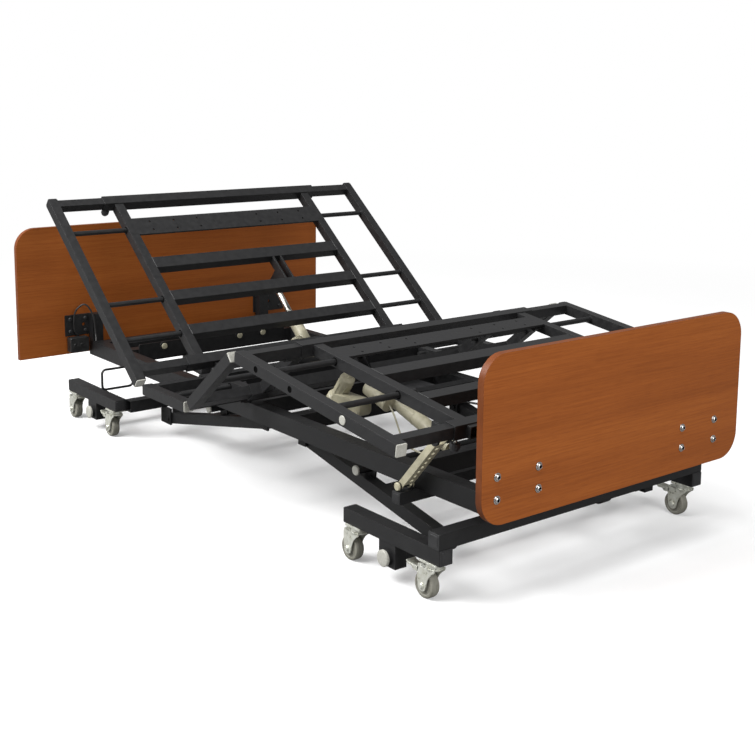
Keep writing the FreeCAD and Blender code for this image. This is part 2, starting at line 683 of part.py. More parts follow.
def section_eyes(reach, direction):
    """The two hinge eyes of a deck section, with a running bore."""
    return [eye("0", reach, f"({side})*hinge_mid", "eye_thick", "pin_radius + running_gap", direction)
            for side in (-1, 1)]


def back_frame(place):
    pieces = deck_section(BACK_SLEEVES, BACK_GUIDES)
    pieces += [cross("-back_cross_low", "cross_width"), cross("-back_cross_mid", "cross_width"),
               cross("-back_cross_high", "back_cross_wide"), wide_plate("-back_plate")]
    pieces += section_eyes("back_sleeve_low - sleeve_side/2", -1)
    # the lever hangs from a short beam between the two middle cross tubes
    for face in (-1, 1):
        across = f"back_actuator_line + ({face})*(eye_end_thick/2 + side_gap + lever_thick/2)"
        pieces.append(bar(("-(back_cross_mid + back_cross_high)/2", across, "0"),
                          ("lever_beam_length", "lever_thick", "deck_tube")))
    pieces += lever("-back_lever_along", "-back_lever_drop", LEVER_ROOT, "back_actuator_line")
    node("back_frame", pieces, place)


def seat_frame():
    place = Placement(Vector(0, 0, size("deck_level")), Rotation())
    pieces = deck_section(SEAT_SLEEVES, SEAT_GUIDES)
    post_low = "rail_level + rail_depth/2 - deck_level"
    post_high = "-deck_tube/2"
    for side in (-1, 1):
        for along in ("seat_post_head", "seat_post_foot"):
            across = f"({side})*(deck_rail_mid - seat_post_inset)"
            pieces.append(bar((along, across, f"(({post_low}) + ({post_high}))/2"),
                              ("seat_post_length", "seat_post_width", f"({post_high}) - ({post_low})")))
        pieces += clevis("back_hinge", "seat_start - back_hinge", f"({side})*hinge_mid", 1)
        pieces += clevis("thigh_hinge", "thigh_hinge - seat_end", f"({side})*hinge_mid", -1)
    pieces.append(cross("seat_cross", "deck_tube"))
    node("seat_frame", pieces, place)


def thigh_frame(place):
    pieces = deck_section(THIGH_SLEEVES, THIGH_GUIDES)
    pieces += section_eyes("thigh_sleeve_low - sleeve_side/2", 1)
    for side in (-1, 1):
        pieces += clevis("thigh_length", "thigh_length - thigh_sleeve_high - sleeve_side/2",
                         f"({side})*hinge_mid", -1)
    pieces.append(cross("knee_lever_along", "deck_tube"))
    pieces += lever("knee_lever_along", "-knee_lever_drop", LEVER_ROOT, "knee_actuator_line")
    node("thigh_frame", pieces, place)


def calf_frame(place):
    pieces = deck_section(CALF_SLEEVES, CALF_GUIDES, "calf_length")
    pieces += section_eyes("calf_sleeve_knee - sleeve_side/2", 1)
    pieces += [wide_plate("calf_plate"), cross("calf_cross_high", "calf_cross_wide"),
               cross("calf_cross_low", "cross_width")]
    for side in (-1, 1):
        pieces += strut_lugs(side)
    node("calf_frame", pieces, place)


def strut_lugs(side):
    """A strap from the end sleeve with two plates that hold a calf strut's upper end."""
    pieces = []
    sleeve_face = "calf_sleeve_end - sleeve_side/2"
    strap_start = "calf_strut_along - lug_overlap"
    for face in (-1, 1):
        across = f"({side})*strut_line + ({face})*(strut_width/2 + side_gap + ear_thick/2)"
        pieces.append(bar((f"(({strap_start}) + ({sleeve_face}))/2", across, "-lug_depth/2"),
                          (f"({sleeve_face}) - ({strap_start})", "ear_thick", "lug_depth")))
        pieces.append(bar(("calf_strut_along", across, "-(lug_depth + calf_strut_drop)/2"),
                          ("2*lug_radius - 2*side_gap", "ear_thick", "calf_strut_drop - lug_depth")))
        pieces.append(rod("y", ("calf_strut_along", across, "-calf_strut_drop"), "lug_radius", "ear_thick"))
    return pieces


def wing(section, side_name, side, rail, sleeves, guides, place):
    """An outer rail with two telescope bars, its guide rods and its two end caps."""
    start, end = rail
    rail_mid = "wing_edge - deck_tube/2"
    rail_inside = "wing_edge - deck_tube"
    across = f"({side})*({rail_mid})"
    pieces = [deck_rail(start, end, across)]
    reach = f"({rail_inside}) - slider_start"
    middle = f"({side})*(({rail_inside}) + slider_start)/2"
    for along in sleeves:
        pieces.append(box_tube("y", (along, middle, "0"), ("slider_side", reach, "slider_side")))
    guide_reach = f"({rail_inside}) - guide_start"
    guide_middle = f"({side})*(({rail_inside}) + guide_start)/2"
    for along in guides:
        pieces.append(rod("y", (along, guide_middle, "0"), "guide_radius", guide_reach))
    for along, way in ((start, -1), (end, 1)):
        pieces.append(bar((f"({along}) + ({way})*cap_length/2", across, "0"),
                          ("cap_length", "deck_tube - deck_wall", "deck_tube - deck_wall")))
    node(f"{section}_wing_{side_name}", pieces, place)


def lock_knob(section, side_name, side, along, place):
    """A pull plunger under a sleeve end: stem, collar and round grip."""
    across = f"({side})*(sleeve_half - knob_inset)"
    sleeve_low = "-sleeve_side/2"
    collar_top = f"{sleeve_low} - knob_stem_length + side_gap + side_gap"
    grip_top = f"{collar_top} - knob_collar_length + side_gap"
    stack = ((sleeve_low, "knob_stem"), (collar_top, "knob_collar"), (grip_top, "knob_grip"))
    pieces = [rod("z", (along, across, f"{top} - {part}_length/2"), part, f"{part}_length")
              for top, part in stack]
    node(f"{section}_lock_knob_{side_name}", pieces, place)


def calf_strut(place, length):
    """A perforated channel on each side, with a round end at each pivot."""
    reach = str(round(length, 3))
    web_level = "-strut_depth/2 + strut_wall/2"
    struts = []
    for side in (-1, 1):
        line = f"({side})*strut_line"
        pieces = [bar((f"({reach})/2", line, web_level),
                      (f"({reach}) - 2*strut_window", "strut_width", "strut_wall"))]
        for face in (-1, 1):
            across = f"{line} + ({face})*(strut_width/2 - strut_wall/2)"
            pieces.append(bar((f"({reach})/2", across, "0"), (reach, "strut_wall", "strut_depth")))
            pieces.append(rod("y", ("0", across, "0"), "strut_depth/2", "strut_wall"))
            pieces.append(rod("y", (reach, across, "0"), "strut_depth/2", "strut_wall"))
        through = "strut_width + 2*bore_overrun"
        drills = [rod("y", ("0", line, "0"), "pin_radius + running_gap", through),
                  rod("y", (reach, line, "0"), "strut_top_bore", through)]
        for i in range(STRUT_HOLES):
            along = f"({reach})/2 + ({i - (STRUT_HOLES - 1) / 2})*strut_pitch"
            drills.append(rod("z", (along, line, web_level), "strut_hole", "strut_wall + 2*bore_overrun"))
        struts.append(cut(union(pieces), drills))
    node("calf_strut", struts, place)


# ---------------------------------------------------------------- lift arms and bases

def lift_arms(label, end, place):
    """Two arms with an eye at each end, a cross tube, the tie tube and the lift lever.

    Drawn level along X from the upper pivot, towards the foot for end 1, the head for end -1.
    """
    tip = f"({end})*arm_length"
    lower_outer = "pivot_radius + arm_eye_wall" if end > 0 else "arm_side/2"
    lower_bore = "pivot_radius" if end > 0 else "arm_pin"
    reach = f"arm_length - arm_eye_inset - ({lower_bore})"
    middle = f"({end})*(arm_eye_inset + ({reach})/2)"
    through = "arm_side + 2*bore_overrun"
    tie_at = f"({end})*tie_along"
    pieces = []
    for side in (-1, 1):
        across = f"({side})*arm_mid"
        arm = box_tube("x", (middle, across, "0"), (reach, "arm_side", "arm_side"))
        eyes = [rod("y", ("0", across, "0"), "arm_side/2", "arm_side"),
                rod("y", (tip, across, "0"), lower_outer, "arm_side")]
        bores = [rod("y", ("0", across, "0"), "arm_pin + running_gap", through),
                 rod("y", (tip, across, "0"), f"({lower_bore}) + running_gap", through)]
        pieces.append(cut(union([arm] + eyes), bores))
        pieces.append(bar((tie_at, f"({side})*(arm_mid - tie_post_inset)", "(arm_side/2 + tie_rise)/2"),
                          ("tie_post_width", "tie_post_thick", "tie_rise - arm_side/2")))
    cross_at = f"({end})*lever_along"
    pieces.append(box_tube("y", (cross_at, "0", "0"), ("arm_side", "2*arm_mid - arm_side", "arm_side")))
    pieces.append(rod("y", (tie_at, "0", "tie_rise"), "tie_radius", "2*(arm_mid + tie_reach)"))
    pieces += lever(cross_at, "lever_rise", "arm_side/2", f"({end})*lift_actuator_line")
    node(label, pieces, place)


def base_frame(label, middle, beam_mid, beam_level, block_at, holds_arms):
    """Two carriage tubes, the beam between them and the two pivot blocks."""
    pieces = []
    tube_low = "base_level - base_side/2"
    for side in (-1, 1):
        across = f"({side})*base_mid"
        pieces.append(box_tube("x", (middle, across, "base_level"),
                               ("base_length", "base_side", "base_side")))
        block = bar((block_at, across, f"(({tube_low}) + block_foot)/2"),
                    ("block_width", "block_thick", f"({tube_low}) - block_foot"))
        bore = rod("y", (block_at, across, "pivot_level"), "pivot_radius", "block_thick + 2*bore_overrun")
        pieces.append(cut(block, [bore]))
    # a beam at the tubes' own height ends at them, a higher one lies on top of them
    beam_half = "base_mid - base_side/2" if beam_level == "base_level" else "base_mid + base_side/2"
    pieces.append(box_tube("y", (beam_mid, "0", beam_level),
                           ("base_side", f"2*({beam_half})", "base_side")))
    if holds_arms:
        ear_low = "pivot_level - arm_ear_lip"
        for side in (-1, 1):
            for face in (-1, 1):
                across = f"({side})*arm_mid + ({face})*(arm_side/2 + side_gap + ear_thick/2)"
                pieces.append(bar(("arm_ear_mid", across, f"(({tube_low}) + ({ear_low}))/2"),
                                  ("arm_ear_length", "ear_thick", f"({tube_low}) - ({ear_low})")))
            pieces.append(rod("y", ("head_pivot", f"({side})*arm_mid", "pivot_level"), "arm_pin",
                              "arm_side + 2*(side_gap + ear_thick + pin_head)"))
    node(label, pieces)


def pivot_tube(label, at):
    """A round tube between the pivot blocks with a cap in each end."""
    centre = (at, "0", "pivot_level")
    pieces = [cut(rod("y", centre, "pivot_radius", "2*pivot_half"),
                  [rod("y", centre, "pivot_radius - pivot_wall", "2*pivot_half")])]
    for side in (-1, 1):
        cap_at = f"({side})*(pivot_half + pivot_cap/2)"
        pieces.append(rod("y", (at, cap_at, "pivot_level"), "pivot_radius + pivot_cap_lip", "pivot_cap"))
        collar_at = f"({side})*(base_mid - block_thick/2 - collar_gap - collar_length/2)"
        spot = (at, collar_at, "pivot_level")
        collar = rod("y", spot, "pivot_radius + collar_wall", "collar_length")
        inside = rod("y", spot, "pivot_radius - pivot_cap_lip", "collar_length + 2*bore_overrun")
        pieces.append(cut(collar, [inside]))
    node(label, pieces)


# ---------------------------------------------------------------- casters

def caster_spots():
    """Name, swivel centre and brake of every caster."""
    spots = []
    for end, middle in (("foot", "foot_base_mid"), ("head", "head_base_mid")):
        for place, way in (("outer", 1 if end == "foot" else -1), ("inner", -1 if end == "foot" else 1)):
            for side_name, side in SIDES:
                along = f"{middle} + ({way})*(base_length/2 - wheel_inset)"
                spots.append((f"{end}_{side_name}_{place}", along, f"({side})*base_mid", way == 1, end))
    return spots


def caster_plates(end):
    """Four drilled mounting plates with swivel races, under one carriage."""
    pieces = []
    tube_low = "base_level - base_side/2"
    plate_low = f"{tube_low} - mount_plate"
    race_low = "fork_top + crown_thick/2 + race_gap"
    for name, along, across, brake, owner in caster_spots():
        if owner != end:
            continue
        blank = bar((along, across, f"{tube_low} - mount_plate/2"),
                    ("mount_plate_side", "base_side + 2*mount_plate_lap", "mount_plate"))
        race = rod("z", (along, across, f"({plate_low} + {race_low})/2"), "race_radius",
                   f"{plate_low} - ({race_low})")
        bore = rod("z", (along, across, plate_low), "stem_radius + running_gap", "2*stem_length")
        pieces.append(cut(union([blank, race]), [bore]))
    node(f"{end}_caster_plates", pieces)


def caster_fork(name, along, across, brake):
    """A crown with its swivel stem, two raked legs, the wheel axle and, for a brake, the pedal's pin."""
    axle_at = f"({along}) - trail"
    crown_low = "fork_top - crown_thick/2"
    inner_width = "fork_gap + 2*fork_leg"
    stem_mid = (along, across, "fork_top - side_gap + stem_length/2")
    crown_mid = (f"({along}) - crown_mid", across, "fork_top")
    pieces = [rod("z", (along, across, "fork_top"), "race_radius", "crown_thick"),
              rod("z", stem_mid, "stem_radius", "stem_length"),
              bar(crown_mid, ("crown_length", inner_width, "crown_thick"))]
    leg_low = "wheel_radius + leg_lap"
    pedal_at = f"({along}) - pedal_pivot"
    ear_start = f"({pedal_at}) - pedal_ear/2"
    ear_end = f"({along}) - leg_mid - leg_width/2 + leg_lap"
    for face in (-1, 1):
        leg_line = f"({across}) + ({face})*(fork_gap + fork_leg)/2"
        pieces.append(bar((f"({along}) - leg_mid", leg_line, f"(({crown_low}) + ({leg_low}))/2"),
                          ("leg_width", "fork_leg", f"({crown_low}) - ({leg_low})")))
        pieces.append(rod("y", (axle_at, leg_line, "wheel_radius"), "foot_radius", "fork_leg"))
        pieces.append(bar((axle_at, leg_line, f"(wheel_radius + ({leg_low}) + side_gap)/2"),
                          ("foot_width", "fork_leg", "leg_lap + side_gap")))
        head = f"({across}) + ({face})*(fork_gap/2 + fork_leg + axle_head_thick/2)"
        pieces.append(rod("y", (axle_at, head, "wheel_radius"), "axle_head", "axle_head_thick"))
        if brake:
            pieces.append(bar((f"(({ear_start}) + ({ear_end}))/2", leg_line, "pedal_level"),
                              (f"({ear_end}) - ({ear_start})", "fork_leg", "pedal_ear")))
    pieces.append(rod("y", (axle_at, across, "wheel_radius"), "axle_radius", inner_width))
    if brake:
        pieces.append(rod("y", (pedal_at, across, "pedal_level"), "pedal_pin", inner_width))
    node(f"caster_fork_{name}", pieces)


def caster_wheel(name, along, across):
    """A tread and hub turned in one piece."""
    body = new_body(f"caster_wheel_{name}")
    profile = new_sketch(body, "XY_Plane")
    side = "wheel_width/2"
    half = [("axle_radius + running_gap", f"{side} + hub_stand"), ("hub_radius", f"{side} + hub_stand"),
            ("dish_inner", f"{side} - dish_depth"), ("dish_outer", f"{side} - dish_depth"),
            ("tread_inner", side), ("wheel_radius - tread_round", side),
            ("wheel_radius", f"{side} - tread_side")]
    lower = [(across_axis, f"-({along_axis})") for across_axis, along_axis in half]
    outline(profile, lower + half[::-1])
    turned = body.newObject("PartDesign::Revolution", "turned")
    turned.Profile = profile
    turned.ReferenceAxis = (origin_part(body, "Y_Axis"), [""])
    turned.Angle = 360
    bind(body, "Placement.Base.x", f"({along}) - trail")
    bind(body, "Placement.Base.y", across)
    bind(body, "Placement.Base.z", "wheel_radius")


def brake_pedal(name, along, across):
    """A foot plate with a rolled lip and a hinge barrel, behind the wheel."""
    body = new_body(f"brake_pedal_{name}")
    half = "pedal_thick/2"
    tip = "-pedal_length"
    profile = new_sketch(body, "XZ_Plane")
    outline(profile, [("-pedal_pin - side_gap", f"-{half}"), ("-pedal_pin - side_gap", half),
                      (f"{tip} + pedal_lip", f"{half} + side_gap"), (tip, f"{half} + pedal_lip"),
                      (f"{tip} - pedal_lip_thick", f"{half} + pedal_lip_thick"),
                      (f"{tip} + pedal_lip_thick + side_gap", f"-{half}")])
    pad(body, profile, "pedal_width", True)
    barrel = new_sketch(body, "XZ_Plane")
    circles(barrel, "pedal_barrel", [("0", "0")])
    pad(body, barrel, "pedal_width", True)
    bore = new_sketch(body, "XZ_Plane")
    circles(bore, "pedal_pin + running_gap", [("0", "0")])
    drill(body, bore)
    bind(body, "Placement.Base.x", f"({along}) - pedal_pivot")
    bind(body, "Placement.Base.y", across)
    bind(body, "Placement.Base.z", "pedal_level")


# ---------------------------------------------------------------- end boards

def end_board(label, start, width, low, high, corner, columns, rows, both_corners):
    """A flat board with rounded corners and bolt holes."""
    body = new_body(label)
    profile = new_sketch(body, "YZ_Plane")
    half = f"({width})/2"
    outline(profile, [(f"-({half})", low), (half, low), (half, high), (f"-({half})", high)])
    slab = pad(body, profile, "board_thick")
    middle = (size(low) + size(high)) / 2

    def is_corner(edge):
        along_x = abs(edge.Vertexes[0].X - edge.Vertexes[-1].X) > size("board_thick") / 2
        return along_x and (both_corners or edge.CenterOfMass.z > middle)

    round_edges(body, slab, corner, is_corner)
    if columns:
        holes = new_sketch(body, "YZ_Plane")
        circles(holes, "bolt_hole", [(column, row) for column in columns for row in rows])
        drill(body, holes)
    bind(body, "Placement.Base.x", start)


BOLT_COLUMNS = ("bolt_near_outer", "bolt_near_inner", "bolt_far_inner", "bolt_far_outer")
BOLT_ROWS = ("bolt_low", "bolt_high")


def column_side(column):
    """The side of the middle line a hole column lies on, -1 or 1."""
    place = -size(column[1:]) if column.startswith("-") else size(column)
    return math.copysign(1, place)


def bracket_pair(way, end, face, holes):
    """The plates behind a board and the posts on the rail ends."""
    low, high = f"{end}_bracket_low", f"{end}_bracket_high"
    inner, outer = f"{end}_bracket_inner", f"{end}_bracket_outer"
    post_low, post_high = "rail_level - rail_depth/2", f"{end}_post_high"
    post_end = f"{face} - board_thick - bracket_thick"
    pieces = []
    for side in (-1, 1):
        plate_at = f"({way})*({face} - board_thick - bracket_thick/2)"
        blank = bar((plate_at, f"({side})*({inner} + {outer})/2", f"({low} + {high})/2"),
                    ("bracket_thick", f"{outer} - {inner}", f"{high} - {low}"))
        drills = [rod("x", (plate_at, column, row), hole, "bracket_thick + 2*bore_overrun")
                  for column, row, hole in holes if column_side(column) == side]
        pieces.append(cut(blank, drills))
        post_mid = (f"({way})*(rail_reach + {post_end})/2", f"({side})*rail_mid",
                    f"({post_low} + {post_high})/2")
        pieces.append(bar(post_mid, (f"{post_end} - rail_reach", "rail_width",
                                     f"{post_high} - ({post_low})")))
    return pieces


def board_bolts():
    """Bolts with washers and nuts through the footboard, and screws into the headboard."""
    pieces = []
    back_face = "foot_board_face - board_thick - bracket_thick"
    shank_end = "foot_board_face + washer_thick"
    screw_face = "-(head_board_face - board_thick - bracket_thick)"
    for across in BOLT_COLUMNS:
        for row in BOLT_ROWS:
            head_at = f"{shank_end} + bolt_head_thick/2"
            pieces.append(union([
                rod("x", (f"({back_face} + {shank_end})/2", across, row), "bolt_radius",
                    f"{shank_end} - ({back_face})"),
                rod("x", ("foot_board_face + washer_thick/2", across, row), "washer_radius", "washer_thick"),
                rod("x", (head_at, across, row), "bolt_head", "bolt_head_thick"),
                rod("x", (f"{back_face} - nut_thick/2", across, row), "nut_radius", "nut_thick")]))
    for side in (-1, 1):
        for column in ("screw_inner", "screw_outer"):
            for row in ("screw_low", "screw_high"):
                pieces.append(rod("x", (f"{screw_face} + screw_head_thick/2", f"({side})*{column}", row),
                                  "screw_head", "screw_head_thick"))
    node("board_bolts", pieces)


# ---------------------------------------------------------------- controls and cables

def control_box():
    """The control unit between the two middle cross tubes."""
    span = "foot_arm_top - head_arm_top - cross_width"
    middle = "(foot_arm_top + head_arm_top)/2"
    level = "cross_level - control_drop"
    socket_level = f"{level} - control_depth/2 - socket_depth/2"
    pieces = [bar((middle, "control_line", level), (span, "control_width", "control_depth")),
              bar((middle, "control_line", socket_level),
                  ("socket_length", "socket_width", "socket_depth"))]
    node("control_box", pieces)


def cable_loops():
    """A bent wire hanger under each main rail: out from the rail, down, back in and up."""
    wire = size("loop_wire")
    bend = size("loop_bend")
    quarter = bend * (1 - math.sqrt(0.5))
    along = size("loop_at")
    rail_outside = size("rail_mid") + size("rail_width") / 2
    rail_low = size("rail_level") - size("rail_depth") / 2
    outer, inner = size("loop_reach"), size("rail_mid")
    high, low = rail_low + size("loop_top"), size("loop_low")
    solids = []
    for side in (-1, 1):
        track = [(rail_outside, high), (outer - bend, high), (outer - quarter, high - quarter),
                 (outer, high - bend), (outer, low + bend), (outer - quarter, low + quarter),
                 (outer - bend, low), (inner + bend, low), (inner + quarter, low + quarter),
                 (inner, low + bend), (inner, rail_low)]
        points = [Vector(along, side * across, up) for across, up in track]
        edges = [Part.makeLine(points[0], points[1]), Part.Arc(*points[1:4]).toShape(),
                 Part.makeLine(points[3], points[4]), Part.Arc(*points[4:7]).toShape(),
                 Part.makeLine(points[6], points[7]), Part.Arc(*points[7:10]).toShape(),
                 Part.makeLine(points[9], points[10])]
        ring = Part.Wire(Part.makeCircle(wire, points[0], Vector(0, 1, 0)))
        solids.append(Part.Wire(edges).makePipeShell([ring], True, False))
    made = doc.addObject("Part::Feature", "cable_loops")
    made.Label = "cable_loops"
    made.Shape = Part.makeCompound(solids)
    nodes.append(made)


# ---------------------------------------------------------------- actuators

def actuator(name, foot, line, target, body, motor_at, motor_side):
    """A motor and tube on a foot eye, and the rod that slides in it, drawn between two pins."""
    foot_x, foot_z = foot
    run_x, run_z = target[0] - foot_x, target[1] - foot_z
    reach = f"{math.hypot(run_x, run_z):.3f}"
    turn = math.degrees(math.atan2(-run_z, run_x))
    place = Placement(Vector(foot_x, line, foot_z), Rotation(Vector(0, 1, 0), turn))
    motor_line = f"({motor_side})*motor_offset"
    solids = [
        rod("y", ("0", "0", "0"), "foot_eye", "eye_end_thick"),
        bar(("neck_mid", "0", "0"), ("neck_length", "eye_end_thick", "neck_height")),
        rod("x", (f"(tube_start + {body})/2", "0", "0"), "body_radius", f"{body} - tube_start"),
        rod("x", (f"{body} - tube_collar/2", "0", "0"), "body_radius + tube_collar_wall", "tube_collar"),
        rod("x", (motor_at, motor_line, "0"), "motor_radius", "motor_length"),
        bar((motor_at, f"{motor_line}/2", "0"),
            ("motor_cover_length", "motor_offset", "motor_cover_height"))]
    bores = [rod("x", (f"(bore_start + {body} + bore_overrun)/2", "0", "0"), "rod_bore",
                 f"{body} - bore_start + bore_overrun"),
             rod("y", ("0", "0", "0"), "pin_radius + running_gap", "eye_end_thick + 2*bore_overrun")]
    node(f"{name}_actuator_body", [cut(union(solids), bores)], place)
    stroke_rod = rod("x", (f"(rod_park + {reach} - rod_lap)/2", "0", "0"), "rod_radius",
                     f"{reach} - rod_lap - rod_park")
    end_eye = rod("y", (reach, "0", "0"), "eye_end", "eye_end_thick")
    hole = rod("y", (reach, "0", "0"), "pin_radius", "eye_end_thick + 2*bore_overrun")
    node(f"{name}_actuator_rod", [cut(union([stroke_rod, end_eye]), [hole])], place)


def turned(along, rise, angle, start):
    """Where a point drawn flat from a pivot ends up after the section is turned."""
    radians = math.radians(angle)
    across = along * math.cos(radians) + rise * math.sin(radians)
    up = -along * math.sin(radians) + rise * math.cos(radians)
    return start[0] + across, start[1] + up


# ---------------------------------------------------------------- assembly

back_place = hinged("back_hinge", size("back_tilt"))
thigh_place = hinged("thigh_hinge", -size("thigh_tilt"))
thigh_pivot = (size("thigh_hinge"), size("deck_level"))
knee = turned(size("thigh_length"), 0, -size("thigh_tilt"), thigh_pivot)
calf_place = Placement(Vector(knee[0], 0, knee[1]), Rotation(Vector(0, 1, 0), size("calf_tilt")))
seat_place = Placement(Vector(0, 0, size("deck_level")), Rotation())

main_frame()
seat_frame()
back_frame(back_place)
thigh_frame(thigh_place)
calf_frame(calf_place)
WINGS = (
    ("back", ("-back_length", "-back_rail_start"), BACK_SLEEVES, BACK_GUIDES, back_place),
    ("seat", ("seat_start", "seat_end"), SEAT_SLEEVES, SEAT_GUIDES, seat_place),
    ("thigh", ("thigh_rail_start", "thigh_rail_end"), THIGH_SLEEVES, THIGH_GUIDES, thigh_place),
    ("calf", ("calf_rail_start", "calf_length"), CALF_SLEEVES, CALF_GUIDES, calf_place),
)
for side_name, side in SIDES:
    for section, rail, sleeves, guides, place in WINGS:
        wing(section, side_name, side, rail, sleeves, guides, place)
    lock_knob("back", side_name, side, "-back_sleeve_high", back_place)
    lock_knob("calf", side_name, side, "calf_sleeve_end", calf_place)

foot_arms_place = hinged("foot_arm_top", size("arm_tilt"), "arm_top_level")
head_arms_place = hinged("head_arm_top", -size("arm_tilt"), "arm_top_level")
lift_arms("foot_arms", 1, foot_arms_place)
lift_arms("head_arms", -1, head_arms_place)
base_frame("foot_base_frame", "foot_base_mid", "foot_beam_mid", "base_level + base_side",
           "foot_pivot", False)
base_frame("head_base_frame", "head_base_mid", "head_beam_mid", "base_level", "head_stay", True)
pivot_tube("foot_pivot_tube", "foot_pivot")
pivot_tube("head_stay_tube", "head_stay")
for end in ("foot", "head"):
    caster_plates(end)
for name, along, across, brake, owner in caster_spots():
    caster_fork(name, along, across, brake)
    caster_wheel(name, along, across)
    if brake:
        brake_pedal(name, along, across)

end_board("footboard", "foot_board_face - board_thick", "foot_board_width", "foot_board_low",
          "foot_board_high", "foot_corner", BOLT_COLUMNS, BOLT_ROWS, True)
end_board("headboard", "-head_board_face", "head_board_width", "head_board_low",
          "head_board_high", "head_corner", (), (), False)
bolt_spots = [(column, row, "bolt_hole") for column in BOLT_COLUMNS for row in BOLT_ROWS]
plate_spots = [(way + "plate_bore_across", "plate_bore_level", "plate_bore") for way in ("-", "")]
node("board_brackets", bracket_pair(1, "foot", "foot_board_face", bolt_spots)
     + bracket_pair(-1, "head", "head_board_face", plate_spots))
board_bolts()
control_box()
cable_loops()

strut_foot = (size("strut_foot"), size("strut_foot_level"))
strut_top = turned(size("calf_strut_along"), -size("calf_strut_drop"), size("calf_tilt"), knee)
strut_run = (strut_top[0] - strut_foot[0], strut_top[1] - strut_foot[1])
strut_turn = math.degrees(math.atan2(-strut_run[1], strut_run[0]))
strut_place = Placement(Vector(strut_foot[0], 0, strut_foot[1]), Rotation(Vector(0, 1, 0), strut_turn))
calf_strut(strut_place, math.hypot(*strut_run))

back_pivot = (size("back_hinge"), size("deck_level"))
back_pin = turned(-size("back_lever_along"), -size("back_lever_drop"), size("back_tilt"), back_pivot)
knee_pin = turned(size("knee_lever_along"), -size("knee_lever_drop"), -size("thigh_tilt"), thigh_pivot)
foot_pin = turned(size("lever_along"), size("lever_rise"), size("arm_tilt"),
                  (size("foot_arm_top"), size("arm_top_level")))
head_pin = turned(-size("lever_along"), size("lever_rise"), -size("arm_tilt"),
                  (size("head_arm_top"), size("arm_top_level")))
lift_foot = (size("lift_actuator_foot"), size("lift_actuator_foot_level"))
lift_head = (size("foot_arm_top") + size("head_arm_top") - lift_foot[0], lift_foot[1])
actuator("back", (size("back_actuator_foot"), size("back_actuator_foot_level")), size("back_actuator_line"),
         back_pin, "back_body", "back_motor", -1)
actuator("knee", (size("knee_actuator_foot"), size("knee_actuator_foot_level")), size("knee_actuator_line"),
         knee_pin, "knee_body", "knee_motor", -1)
actuator("foot_lift", lift_foot, size("lift_actuator_line"), foot_pin, "lift_body", "lift_motor", 1)
actuator("head_lift", lift_head, -size("lift_actuator_line"), head_pin, "lift_body", "lift_motor", -1)

doc.recompute()

failed = [item.Label for item in doc.Objects if {"Invalid", "Error"} & set(item.State)]
for item in nodes:
    if item.Shape.isNull() or not item.Shape.isValid() or not item.Shape.Solids:
        failed.append(item.Label)
if failed:
    raise RuntimeError("these did not build: " + ", ".join(failed))

os.makedirs("parts", exist_ok=True)
for item in nodes:
    item.Shape.exportStep(f"parts/{item.Label}.step")
print(len(nodes), "sub-parts written")
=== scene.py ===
import bpy
import math
import random
from mathutils import Matrix, Vector


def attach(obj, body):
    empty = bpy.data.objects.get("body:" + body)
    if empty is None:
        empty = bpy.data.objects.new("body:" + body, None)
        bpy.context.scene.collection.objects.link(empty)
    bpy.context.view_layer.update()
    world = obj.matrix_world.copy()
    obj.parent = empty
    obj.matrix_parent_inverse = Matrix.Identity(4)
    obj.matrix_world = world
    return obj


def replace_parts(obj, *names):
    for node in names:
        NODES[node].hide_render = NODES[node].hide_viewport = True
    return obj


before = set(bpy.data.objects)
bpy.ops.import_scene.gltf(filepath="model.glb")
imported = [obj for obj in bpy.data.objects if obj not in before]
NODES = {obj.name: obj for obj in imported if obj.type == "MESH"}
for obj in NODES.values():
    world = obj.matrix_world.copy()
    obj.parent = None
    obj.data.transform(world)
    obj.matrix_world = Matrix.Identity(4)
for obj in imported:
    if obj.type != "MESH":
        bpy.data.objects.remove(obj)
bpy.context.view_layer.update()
random.seed(7)

SIDES = (("near", -1), ("far", 1))
ENDS = ("foot", "head")
RUNNING_ROUND = 2 * math.pi

# ------------------------------------------------------------------ the bed's own measures, in metres
# each section's hinge as x and z, and its tilt in degrees at rest
DECK_LEVEL = 0.290
SECTIONS = {"back": (-0.225, DECK_LEVEL, 39.0), "seat": (0.0, DECK_LEVEL, 0.0),
            "thigh": (0.058, DECK_LEVEL, -38.8), "calf": (0.29804, 0.48299, 7.5)}
SECTION_BODY = {"back": "back", "seat": "main", "thigh": "thigh", "calf": "calf"}
TUBE = 0.030
# distances from the middle line
WING_RAIL = 0.5946
WING_FACE = 0.6096
WING_INNER_FACE = 0.5794
SECTION_FACE = 0.390
SECTION_INNER_FACE = 0.3602
LOCK_LINE = 0.403
FRAME_INNER_FACE = 0.3298
BASE_MID = 0.454
ARM_MID = 0.286
PIVOT_FACE = 0.4801
# carriage tubes of the bases: middle, half length, level and side of the square
CARRIAGE_MID = {"foot": 0.780, "head": -0.835}
CARRIAGE_HALF = 0.180
CARRIAGE_LEVEL = 0.116
CARRIAGE_TUBE = 0.038
PIVOT_AT = {"foot": 0.770, "head": -0.832}
PIVOT_LEVEL = 0.060
# lift arms: upper pivot and the way each pair runs from it, its level and slope
ARM_TOPS = {"foot": (0.182, 1), "head": (-0.012, -1)}
ARM_TOP_LEVEL = 0.178
ARM_TILT = math.radians(11.35)
# casters: distance of the swivel from the middle of its carriage tube, axle and pedal pin behind the swivel
CASTER_REACH = 0.142
CASTER_TOP = 0.083
AXLE_BACK = 0.025
AXLE_LEVEL = 0.0325
WHEEL_RADIUS = 0.0325
PEDAL_BACK = 0.054
PEDAL_LEVEL = 0.068
FORK_HALF = 0.0145
FORK_SHEET = 0.003


